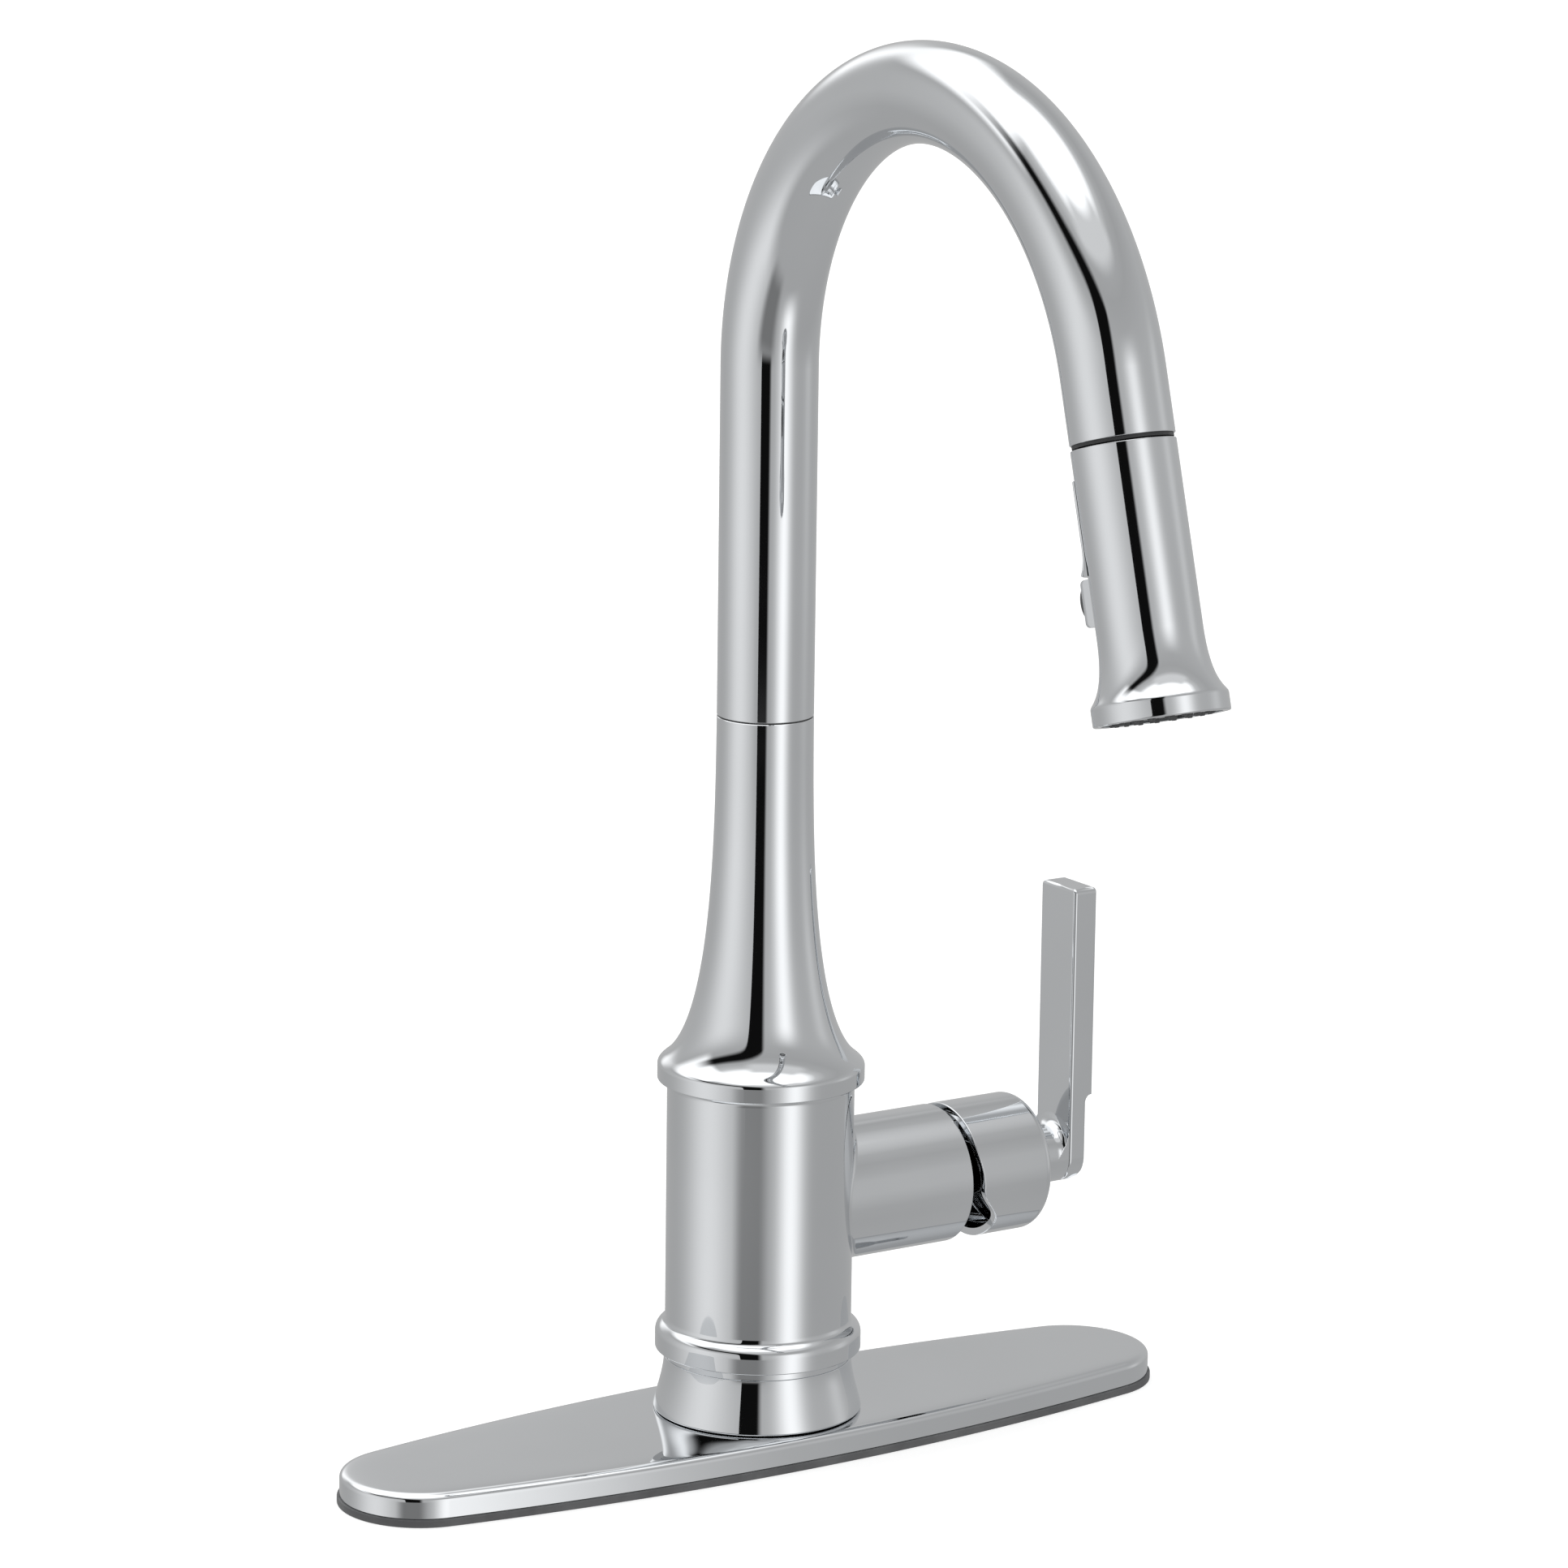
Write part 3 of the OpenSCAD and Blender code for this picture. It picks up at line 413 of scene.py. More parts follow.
def branch(S, Rb, Rn, rho, z0, z1, inside=False):
    """Cylinder of radius Rb about Z from z0 to z1 with a branch of radius Rn along +X and a blend of radius rho between them.
    Returns the branch's angles and where its wall starts, and the angles used round the cylinder."""
    half = 70.0
    T = np.arange(-half, half + 0.1, 2.5)
    Z = np.linspace(z0, z1, 33)
    sgn = -1 if inside else 1
    f = np.radians(np.linspace(0, 360, 2881))
    Rc, Rh = Rb + rho, Rn + rho
    xc = np.sqrt(Rc**2 - (Rh * np.cos(f))**2); yc = Rh * np.cos(f)
    uh, vh = Rb * np.arctan2(yc, xc), Rh * np.sin(f)
    psi = np.unwrap(np.arctan2(vh, uh))
    per = [(Rb * math.radians(half), z - VZ) for z in Z[:-1]] + [(Rb * math.radians(t), z1 - VZ) for t in T[::-1][:-1]] \
        + [(-Rb * math.radians(half), z - VZ) for z in Z[::-1][:-1]] + [(Rb * math.radians(t), z0 - VZ) for t in T[:-1]]
    per = np.array(per)
    ang = np.unwrap(np.arctan2(per[:, 1], per[:, 0]))
    ang = ang - 2 * math.pi * round((ang[0] - 0) / (2 * math.pi))
    # angles of the branch that look towards each point of the patch's edge
    ext_f = np.concatenate([f - 2 * math.pi, f[1:], f[1:] + 2 * math.pi]); ext_p = np.concatenate([psi - 2 * math.pi, psi[1:], psi[1:] + 2 * math.pi])
    phi = np.interp(ang, ext_p, ext_f)
    phi = np.append(phi, phi[0] + 2 * math.pi); per = np.vstack([per, per[:1]])
    xc = np.sqrt(Rc**2 - (Rh * np.cos(phi))**2); yc = Rh * np.cos(phi)
    hole = np.column_stack([Rb * np.arctan2(yc, xc), Rh * np.sin(phi)])
    t = np.linspace(0, 1, 9)[:, None, None]
    UV = (1 - t) * hole + t * per
    th = UV[..., 0] / Rb
    N = np.stack([np.cos(th), np.sin(th), 0 * th], -1)
    P = N * Rb; P[..., 2] = UV[..., 1] + VZ
    S.grid(P, sgn * N)
    th = np.radians(np.concatenate([np.arange(half, 360 - half + 0.1, 2.5)]))
    N = np.stack([np.cos(th), np.sin(th), 0 * th], -1)
    S.grid(np.stack([N * Rb + [0, 0, z] for z in Z]), sgn * np.stack([N] * len(Z)))
    if rho:
        d0 = -np.stack([xc / Rc, yc / Rc, 0 * xc], -1)
        d1 = -np.stack([0 * xc, np.cos(phi), np.sin(phi)], -1)
        om = np.arccos(np.clip((d0 * d1).sum(-1), -1, 1))[:, None]
        c = np.stack([xc, yc, VZ + Rh * np.sin(phi)], -1)
        D = np.stack([(np.sin((1 - s) * om) * d0 + np.sin(s * om) * d1) / np.sin(om) for s in np.linspace(0, 1, 9)])
        S.grid(c + rho * D, -D)
    rings = np.radians(np.concatenate([T[:-1], np.arange(half, 360 - half + 0.1, 2.5)]))
    return phi, xc, rings

S = Surf()
phi, xs, RING = branch(S, BODY_R, NECK_R, 2.0, 36.8, COLLAR_Z - 2.0)
ph2, xi, ring_in = branch(S, 24.0, 17.1, 0.0, 27.3, COLLAR_Z, inside=True)
revolve(S, outline2([(24, 27.3), (RING_R, 27.3, 0.4), (RING_R, 31.7), ("b", (RING_R, 33.2), (28.6, 34.2)), (27.3, 35.0), ("b", (26.9, 35.3), (BODY_R, 35.9)), (BODY_R, 36.8)], closed=False), th=RING)
revolve(S, outline2([(BODY_R, COLLAR_Z - 2.0), ("b", (BODY_R, COLLAR_Z - 1.0), (BODY_R + 0.35, COLLAR_Z - 0.35)), (BODY_R + 1.1, COLLAR_Z - 0.02), (24, COLLAR_Z)], closed=False), th=RING)
# neck: outer wall, rounded rim, inner wall
def neck_ring(phi, r, x):
    return np.stack([x + 0 * phi, r * np.cos(phi), VZ + r * np.sin(phi)], -1)
R = np.stack([0 * phi, np.cos(phi), np.sin(phi)], -1)
t = np.linspace(0, 1, 13)[:, None]
X = (1 - t) * xs + t * (NECK_X - 0.8)
S.grid(np.stack([X, NECK_R * np.cos(phi) + 0 * X, VZ + NECK_R * np.sin(phi) + 0 * X], -1), np.stack([R] * 13))
A = np.radians(np.linspace(0, 90, 7))
S.grid(np.stack([neck_ring(phi, NECK_R - 0.8 + 0.8 * math.cos(q), NECK_X - 0.8 + 0.8 * math.sin(q)) for q in A]),
       np.stack([R * math.cos(q) + np.array([math.sin(q), 0, 0]) for q in A]))
S.grid(np.stack([neck_ring(phi, r, NECK_X) for r in (NECK_R - 0.8, 17.5)]), np.tile([1.0, 0, 0], (2, len(phi), 1)))
S.grid(np.stack([neck_ring(phi, 17.1 + 0.4 * math.cos(q), NECK_X - 0.4 + 0.4 * math.sin(q)) for q in A[::-1]]) if False else
       np.stack([neck_ring(phi, 17.5, NECK_X), neck_ring(phi, 17.1, NECK_X - 0.4)]), np.stack([-R * 0.7 + np.array([0.7, 0, 0])] * 2))
R2 = np.stack([0 * ph2, np.cos(ph2), np.sin(ph2)], -1)
S.grid(np.stack([np.stack([xi, 17.1 * np.cos(ph2), VZ + 17.1 * np.sin(ph2)], -1), neck_ring(ph2, 17.1, NECK_X - 0.4)]), -np.stack([R2] * 2))
body = give(S.build("body_shell.chrome"), CHROME, "base", "chrome", "body_shell")

bell_p, bell_n = bez((27.2, 113.0), (13.7, 124), (13.8, 180.5), (TUBE_R, SPLIT_Z - 0.35), 96)
S = Surf()
revolve(S, outline2([(21.7, 101), (23.9, 101, 0.3), (23.9, COLLAR_Z), (RING_R, COLLAR_Z, 0.4), (RING_R, 110.3), ("b", (RING_R, 111.4), (28.3, 112.1)), (27.2, 113.0)], closed=False))
revolve(S, [(bell_p, bell_n)])
inner = bell_p[::-1][:-18] - [1.7, 0]
inner = inner[inner[:, 0] < 21.5]
revolve(S, outline2([(TUBE_R, SPLIT_Z - 0.35), (TUBE_R - 0.15, SPLIT_Z - 0.2), (inner[0, 0], SPLIT_Z - 0.2), tuple(inner[0])], closed=False))
g = np.gradient(inner, axis=0); g /= np.linalg.norm(g, axis=1, keepdims=True)
revolve(S, [(inner, np.stack([g[:, 1], -g[:, 0]], 1))])
revolve(S, outline2([tuple(inner[-1]), (21.7, 117.5), (21.7, 101)], closed=False))
give(S.build("bell_cover.chrome"), CHROME, "base", "chrome", "bell_cover")

# ------------------------------------------------------------------ handle hub and bonnet ring
def smooth(t):
    t = np.clip(t, 0, 1)
    return t * t * (3 - 2 * t)

def rim(z):
    return NECK_X + 2.5 + 1.2 * smooth((12 - z) / 12) + 6.7 * smooth((-1 - z) / 12)

f = np.radians(np.linspace(0, 360, 289))
R = np.stack([0 * f, np.cos(f), np.sin(f)], -1)
def slope(r):
    return (rim(r * np.sin(f) + 0.01) - rim(r * np.sin(f) - 0.01)) / 0.02
def hub_pt(r, x):
    return np.stack([x + 0 * f, r * np.cos(f), VZ + r * np.sin(f)], -1)
S = Surf()
E1 = 0.3
base = rim(NECK_R * np.sin(f))
t = np.linspace(0, 1, 17)[:, None]
X = (1 - t) * (base + E1) + t * (HUB_X - 3)
S.grid(np.stack([X, NECK_R * np.cos(f) + 0 * X, VZ + NECK_R * np.sin(f) + 0 * X], -1), np.stack([R] * 17))
A = np.radians(np.linspace(0, 90, 13))
S.grid(np.stack([hub_pt(NECK_R - 3 + 3 * math.cos(q), HUB_X - 3 + 3 * math.sin(q)) for q in A]), np.stack([R * math.cos(q) + np.array([math.sin(q), 0, 0]) for q in A]))
S.grid(np.stack([hub_pt(r, HUB_X) for r in (NECK_R - 3, 8.9, 4.0)]), np.tile([1.0, 0, 0], (3, len(f), 1)))
# rim with eased edges
nx = np.stack([-np.ones_like(f), 0 * f, slope(19.0)], -1); nx /= np.linalg.norm(nx, axis=1, keepdims=True)
Q = np.radians(np.linspace(0, 90, 6))
S.grid(np.stack([hub_pt(NECK_R - E1 + E1 * math.cos(q), rim((NECK_R - E1 + E1 * math.cos(q)) * np.sin(f)) + E1 * (1 - math.sin(q))) for q in Q]),
       np.stack([R * math.cos(q) + nx * math.sin(q) for q in Q]))
ri = 17.8
S.grid(np.stack([hub_pt(r, rim(r * np.sin(f))) for r in (NECK_R - E1, 18.9, ri + E1)]), np.stack([nx] * 3))
S.grid(np.stack([hub_pt(ri + E1 - E1 * math.sin(q), rim((ri + E1 - E1 * math.sin(q)) * np.sin(f)) + E1 * (1 - math.cos(q))) for q in Q]),
       np.stack([nx * math.cos(q) - R * math.sin(q) for q in Q]))
t = np.linspace(0, 1, 5)[:, None]
X = (1 - t) * (rim(ri * np.sin(f)) + E1) + t * 83.5
S.grid(np.stack([X, ri * np.cos(f) + 0 * X, VZ + ri * np.sin(f) + 0 * X], -1), -np.stack([R] * 5))
revolve(S, outline2([(4.0, HUB_X), (4.0, 82.2), (3.65, 82.2), (3.65, 67.5), (8.2, 67.5, 0.3), (8.2, 83.5), (17.8, 83.5)][::-1], closed=False), XM, f)
hub = give(S.build("handle_hub.chrome"), CHROME, "lever", "chrome", "handle_hub")

segs = outline2([(11.8, 0), (11.8, 2.0), ("b", (14.5, 1.9), (16.4, 1.2)), (16.6, 0)][::-1], closed=True)
S = Surf()
revolve(S, segs, XM @ move(0, 0, 59.8))
give(S.build("bonnet_ring.chrome"), CHROME, "base", "chrome", "bonnet_ring")

# ------------------------------------------------------------------ lever
BX, BT, BW, BTOP, STEP_Z = 102.2, 8.0, 8.4, 150.0, 85.6
def blade_outer(z):
    x = np.where(z > STEP_Z + 2.5, BX + BT, BX + BT - 2.2)
    t = np.clip((z - STEP_Z) / 2.5, 0, 1)
    x = np.where((z > STEP_Z) & (z <= STEP_Z + 2.5), BX + BT - 2.2 + 2.2 * (1 - np.sqrt(1 - t * t)), x)
    q = np.clip((VZ - BW + 4.5 - z) / 4.5, 0, 1)
    return x - 4.5 * (1 - np.sqrt(1 - q * q))

low = VZ - BW
zs = np.concatenate([low + BW * (1 - np.cos(np.radians(np.linspace(3, 90, 34)))), np.linspace(VZ, STEP_Z, 9)[1:], STEP_Z + 2.5 * np.sin(np.radians(np.linspace(0, 90, 12)))[1:],
                     np.linspace(STEP_Z + 2.5, BTOP - 1.6, 14)[1:], BTOP - 1.6 + 1.6 * np.sin(np.radians(np.linspace(0, 90, 22)))[1:]])
rows, nrm = [], []
for z in zs:
    w = BW if z >= VZ else math.sqrt(max(1e-6, BW**2 - (VZ - z)**2))
    x0, x1 = BX, float(blade_outer(np.array(z)))
    ins = 1.0 - math.sqrt(max(0.0, 1 - max(0.0, z - (BTOP - 1.0))**2))
    x0 += ins; x1 -= ins; w -= 1.6 - math.sqrt(max(0.0, 1.6**2 - max(0.0, z - (BTOP - 1.6))**2))
    cr = min(0.95, 0.8 * w, 0.45 * (x1 - x0)) if z < VZ else 0.95 - 0.9 * ins
    cr = max(cr, 0.02)
    pts, nn = [], []
    for cx, cy, a0 in ((x1 - cr, w - cr, 0), (x0 + cr, w - cr, 90), (x0 + cr, -w + cr, 180), (x1 - cr, -w + cr, 270)):
        for a in np.radians(np.linspace(a0, a0 + 90, 9)):
            pts.append((cx + cr * math.cos(a), cy + cr * math.sin(a), z)); nn.append((math.cos(a), math.sin(a), 0))
        # the flats get points of their own
    out, no = [], []
    for i in range(len(pts)):
        out.append(pts[i]); no.append(nn[i])
        if i % 9 == 8:
            q = pts[(i + 1) % len(pts)]
            for t in (0.04, 0.35, 0.65, 0.96):
                out.append(tuple(np.array(pts[i]) * (1 - t) + np.array(q) * t)); no.append(nn[i])
    out.append(out[0]); no.append(no[0])
    rows.append(out); nrm.append(no)
P, N = np.array(rows), np.array(nrm, float)
# tilt the normals where the section changes with height
g = np.gradient(P, axis=0)
gl = np.linalg.norm(g, axis=-1, keepdims=True)
g = g / np.maximum(gl, 1e-9)
N = N - (N * g).sum(-1, keepdims=True) * g
N[-1] = np.where(True, [0, 0, 1.0], N[-1])
S = Surf()
S.grid(P, N)
S.cap(P[-1][:-1], (0, 0, 1))
S.cap(P[0][:-1][::-1], (0, 0, -1))
# round stem, with a concave blend up into the blade
f2 = np.radians(np.linspace(0, 360, 181))
revolve(S, outline2([(3.98, HUB_X - 6), (BW, HUB_X - 6), (BW, BX - 4.0)], closed=False), XM, f2)
A = np.radians(np.linspace(0, 90, 17))
rr = BW + 4.0 * (1 - np.cos(A)); xx = BX - 4.0 + 4.02 * np.sin(A)
lim = np.where(np.sin(f2) > 0, np.minimum(BW / np.maximum(np.abs(np.cos(f2)), 0.05), BW + 4.0), BW)
rad = np.minimum(rr[:, None], lim[None, :])
P = np.stack([xx[:, None] + 0 * f2, rad * np.cos(f2), VZ + rad * np.sin(f2)], -1)
free = rr[:, None] < lim[None, :] + 1e-6
Nf = np.stack([-np.sin(A)[:, None] + 0 * f2, np.cos(A)[:, None] * np.cos(f2), np.cos(A)[:, None] * np.sin(f2)], -1)
Ns = np.stack([0 * rad, np.sign(np.cos(f2))[None, :] + 0 * rad, 0 * rad], -1)
Nr = np.stack([0 * rad, np.cos(f2)[None, :] + 0 * rad, np.sin(f2)[None, :] + 0 * rad], -1)
Ns = np.where((np.sin(f2) > 0)[None, :, None], Ns, Nr)
S.grid(P, np.where(free[..., None], Nf, Ns))
give(S.build("lever_blade.chrome"), CHROME, "lever", "chrome", "lever_blade")

# ------------------------------------------------------------------ spout tube
def spout_path():
    """Centre, direction in the Y, Z plane, along the tube, in the spout's own frame."""
    out = []
    for z in np.linspace(SPLIT_Z + 0.2, BEND_Z, 14):
        out.append((0, z, 90.0))
    for q in np.linspace(0, 90, 91)[1:]:
        out.append((-BR1 + BR1 * math.cos(math.radians(q)), BEND_Z + BR1 * math.sin(math.radians(q)), 90 + q))
    for q in np.linspace(90, 90 + BA2, 76)[1:]:
        out.append((-BR1 + BR2 * math.cos(math.radians(q)), BEND_Z + BR1 - BR2 + BR2 * math.sin(math.radians(q)), 90 + q))
    for s in np.linspace(0, 1, 6)[1:]:
        d = math.radians(180 + BA2)
        y0, z0 = TIP_Y - TUBE_END * math.cos(d), TIP_Z - TUBE_END * math.sin(d)
        out.append((y0 + s * TUBE_END * math.cos(d), z0 + s * TUBE_END * math.sin(d), 180 + BA2))
    return np.array(out)

def sweep(path, r, th=FULL):
    d = np.radians(path[:, 2])
    side = np.array([1.0, 0, 0])
    e = np.stack([0 * d, -np.sin(d), np.cos(d)], -1)
    N = np.cos(th)[None, :, None] * side + np.sin(th)[None, :, None] * e[:, None, :]
    C = np.stack([0 * d, path[:, 0], path[:, 1]], -1)[:, None, :]
    return C + r * N, N

path = spout_path()
S = Surf()
e = 0.25
cut = path.copy(); cut[0, 1] += e
d = math.radians(cut[-1, 2]); cut[-1, 0] -= e * math.cos(d); cut[-1, 1] -= e * math.sin(d)
P, N = sweep(cut, TUBE_R)
S.grid(P, N, YAWM)
P, N = sweep(path, TUBE_R - TUBE_W)
S.grid(P, -N, YAWM)
for k, sign in ((0, -1), (-1, 1)):
    dd = math.radians(path[k, 2]); ax = sign * np.array([0, math.cos(dd), math.sin(dd)])
    c = np.array([0, path[k, 0], path[k, 1]])
    _, N1 = sweep(path[k:k + 1] if k == 0 else path[-1:], 1.0)
    N1 = N1[0]
    q = np.radians(np.linspace(0, 90, 6))
    S.grid(np.stack([c - ax * e + N1 * (TUBE_R - e + e * math.cos(w)) + ax * e * math.sin(w) for w in q]), np.stack([N1 * math.cos(w) + ax * math.sin(w) for w in q]), YAWM)
    S.grid(np.stack([c + N1 * r for r in (TUBE_R - e, TUBE_R - TUBE_W)]), np.tile(ax, (2, N1.shape[0], 1)), YAWM)
give(S.build("spout_tube.chrome"), CHROME, "spout", "chrome", "spout_tube")

# ------------------------------------------------------------------ spray wand
W_HALF = math.degrees(math.asin(7.1 / 13.6))
Z0, Z1 = -46.2, -33.1
th_w = np.radians(np.concatenate([np.linspace(90 - W_HALF, 90 + W_HALF, 49), np.linspace(90 + W_HALF, 450 - W_HALF, 145)[1:]]))
zz = np.concatenate([np.linspace(-49, Z0, 3), np.linspace(Z0, Z1, 9)[1:], np.linspace(Z1, -1.6, 12)[1:]])
S = Surf()
C, Sn = np.cos(th_w), np.sin(th_w)
def cyl_rows(r, zs):
    return np.stack([np.stack([r * C, r * Sn, z + 0 * C], -1) for z in zs])
skip = np.zeros((len(zz) - 1, len(th_w) - 1), bool)
skip[2:10, :48] = True
Nn = np.stack([np.stack([C, Sn, 0 * C], -1)] * len(zz))
S.grid(cyl_rows(13.6, zz), Nn, TIPM, skip)
S.grid(cyl_rows(11.5, zz), -Nn, TIPM, skip)
for s, z in ((-1, Z0), (1, Z1)):
    a = th_w[:49]
    S.grid(np.stack([np.stack([r * np.cos(a), r * np.sin(a), z + 0 * a], -1) for r in (13.6, 11.5)]), np.tile([0, 0, -s], (2, 49, 1)), TIPM)
for k, s in ((0, 1), (48, -1)):
    a = th_w[k]
    zs = zz[2:11]
    S.grid(np.stack([np.stack([r * math.cos(a) + 0 * zs, r * math.sin(a) + 0 * zs, zs], -1) for r in (13.6, 11.5)]), np.tile([-s * math.sin(a), s * math.cos(a), 0], (2, len(zs), 1)), TIPM)
revolve(S, outline2([(13.6, -1.6), ("b", (13.6, -1.42), (13.48, -1.3)), (13.3, -1.3), (11.5, -1.3), (11.5, -1.6)], closed=False), TIPM, th_w)
revolve(S, outline2([(11.5, -49), (11.5, -56), (15.7, -65), (15.7, -WAND_L, 0.2), (RIM_R, -WAND_L, 0.5), (RIM_R, -67.1, 0.2), (RIM_R - 0.05, -66.7),
    ("b", (17.23, -65.2), (13.56, -63.8)), (13.6, -49.0)], closed=False), TIPM, th_w)
give(S.build("wand_shell.chrome"), CHROME, "wand", "chrome", "wand_shell")

def pad(name, mat, body, slot, node, half, z0, z1, r_in, top, ease, M=TIPM, nu=81, nv=97, flat=None):
    """A curved pad on the wand's rear: outer radius top(z), with all its edges rounded over by ease."""
    u = np.linspace(-1, 1, nu); v = np.linspace(0, 1, nv)
    u = np.sign(u) * (1 - (1 - np.abs(u))**1.6); v = 0.5 + 0.5 * np.sign(v - 0.5) * (1 - (1 - np.abs(2 * v - 1))**1.6)
    U, Vv = np.meshgrid(u, v, indexing="ij")
    z = z0 + (z1 - z0) * Vv
    rt = top(z)
    L = flat or half * rt
    dist_u = (1 - np.abs(U)) * L
    dist_v = np.minimum(z - z0, z1 - z)
    k = lambda q: np.sqrt(np.clip(1 - (1 - np.clip(q / ease, 0, 1))**2, 0, 1))
    r = rt - ease * (1 - np.minimum(1, k(dist_u))) - ease * (1 - np.minimum(1, k(dist_v)))
    th = math.pi / 2 - (np.arcsin(U * flat / r) if flat else U * half)
    P = np.stack([r * np.cos(th), r * np.sin(th), z], -1)
    S = Surf()
    N = numeric(P)
    if (N[nu // 2, nv // 2] @ np.array([0, 1.0, 0])) < 0:
        N = -N
    S.grid(P, N, M)
    if flat:
        th = math.pi / 2 - np.arcsin(U * flat / r_in)
    Pi = np.stack([r_in * np.cos(th), r_in * np.sin(th), z], -1)
    S.grid(Pi, -np.stack([np.cos(th), np.sin(th), 0 * th], -1), M)
    for i, s in ((0, 1), (-1, -1)):
        t0 = math.pi / 2 if flat else th[i, 0]
        S.grid(np.stack([P[i], Pi[i]]), np.tile([-s * math.sin(t0), s * math.cos(t0), 0], (2, nv, 1)), M)
    for j, s in ((0, -1), (-1, 1)):
        S.grid(np.stack([P[:, j], Pi[:, j]]), np.tile([0, 0, s], (2, nu, 1)), M)
    return give(S.build(name), mat, body, slot, node)

def spine_top(z):
    return np.interp(-z, [8.7, 27, 29, 31.4, 32.7, 33.1], [14.15, 14.15, 14.3, 14.75, 15.28, 15.3])
pad("wand_spine.chrome", CHROME, "wand", "chrome", "wand_spine", math.radians(49.6), -33.1, -8.7, 13.0, spine_top, 0.5)
pad("toggle_button.chrome", CHROME, "button", "chrome", "toggle_button", math.radians(29.7), -45.8, -33.6, 11.9, lambda z: 17.3 + 0 * z, 1.3, nu=65, nv=65, flat=6.9)

# dark grip on the button: a pill with a rounded edge
def pill_pts(hw, l, k):
    out = []
    for s in (1, -1):
        for i in range(25):
            a = math.pi / 2 * 0 + math.radians(180 * i / 24) + (0 if s > 0 else math.pi)
            out.append((hw * math.cos(a) * k, (s * (l / 2 - hw) + hw * math.sin(a) * k)))
    out.append(out[0])
    return np.array(out)
S = Surf()
q = pill_pts(5.3, 11, 1.0)
rows, zc = [], -39.2
prof = [(1.0, 16.0), (1.0, 18.0)] + [(1 - 0.11 * (1 - math.cos(w)), 18.0 + 0.55 * math.sin(w)) for w in np.radians(np.linspace(8, 90, 10))] + [(k, 18.55 + 0.2 * (1 - (k / 0.89)**2)) for k in (0.8, 0.6, 0.4, 0.2, 0.02)]
for k, y in prof:
    p = pill_pts(5.3, 11, 1.0)
    c = np.array([0, 0.0])
    rows.append(np.column_stack([p[:, 0] * k, y - 0.02 * (p[:, 0] * k)**2, zc + p[:, 1] * k]))
P = np.array(rows)
N = numeric(P)
if N[-3, 10, 1] < 0:
    N = -N
S.grid(P, N, TIPM)
S.cap(P[-1][:-1], (0, 1, 0), TIPM)
S.cap(P[0][:-1][::-1], (0, -1, 0), TIPM)
give(S.build("button_insert.grip"), PILLP, "button", "grey_plastic", "button_insert")

# ------------------------------------------------------------------ below the deck
def thread_rows(S, r_out, depth, z0, z1, pitch, n=128, M=I4, inner=False):
    per = 14
    zs = np.linspace(z0, z1, int((z1 - z0) / pitch * per) + 1)
    th = np.radians(np.linspace(0, 360, n + 1))
    Z, T = np.meshgrid(zs, th, indexing="ij")
    ph = (Z / pitch - T / (2 * math.pi)) % 1.0
    w = np.clip(1.35 - 2.7 * np.abs(ph - 0.5), 0, 1)
    fade = np.clip((Z - z0) / pitch, 0, 1) * np.clip((z1 - Z) / (1.5 * pitch), 0, 1)
    r = r_out - depth * (1 - w * 1.0) * fade - 0.0
    P = np.stack([r * np.cos(T), r * np.sin(T), Z], -1)
    N = numeric(P)
    Nr = np.stack([np.cos(T), np.sin(T), 0 * T], -1)
    N = np.where((N * Nr).sum(-1, keepdims=True) < 0, -N, N)
    N[:, -1] = N[:, 0]
    S.grid(P, N, M)
    return th

S = Surf()
th = thread_rows(S, 16.3, 1.05, -74.2, -31.0, 2.0)
revolve(S, outline2([(14.3, 20), (14.3, -75, 0.5), (15.6, -75, 0.5), (16.3, -74.2)], closed=False), th=th)
revolve(S, outline2([(16.3, -31.0), (16.3, -30), (16.6, -30, 0.15), (16.6, 0, 0.15), (16.3, 0), (16.3, 20), (14.3, 20)], closed=False), th=th)
give(S.build("shank.threaded"), BRASS, "base", "brass", "shank")

give(cad_copy("mounting_nut", "mounting_nut.fine", angle=30, bevel=0.6), BRASS, "base", "steel", "mounting_nut")

# ------------------------------------------------------------------ pull-out hose
def braid_rows(S, centre, frame_e, spans, along, r=HOSE_R, carriers=12, n=72):
    """Woven tube: along is the pattern's own length at each ring."""
    th = np.linspace(0, 2 * math.pi, n + 1)
    A, T = np.meshgrid(along, th, indexing="ij")
    k = 2 * math.pi / 17.0
    a = np.cos(carriers * (T + k * A)); b = np.cos(carriers * (T - k * A))
    over = np.cos(carriers * T) * np.cos(carriers * k * A)
    rr = r - 0.22 + 0.22 * np.sqrt(np.clip(0.5 + 0.5 * np.where(over > 0, a, b), 0, 1))
    e1, e2 = frame_e
    N0 = np.cos(T)[..., None] * e1[:, None, :] + np.sin(T)[..., None] * e2[:, None, :]
    P = centre[:, None, :] + rr[..., None] * N0
    N = numeric(P)
    N = np.where((N * N0).sum(-1, keepdims=True) < 0, -N, N)
    N[:, -1] = N[:, 0]
    S.grid(P, N, spans)

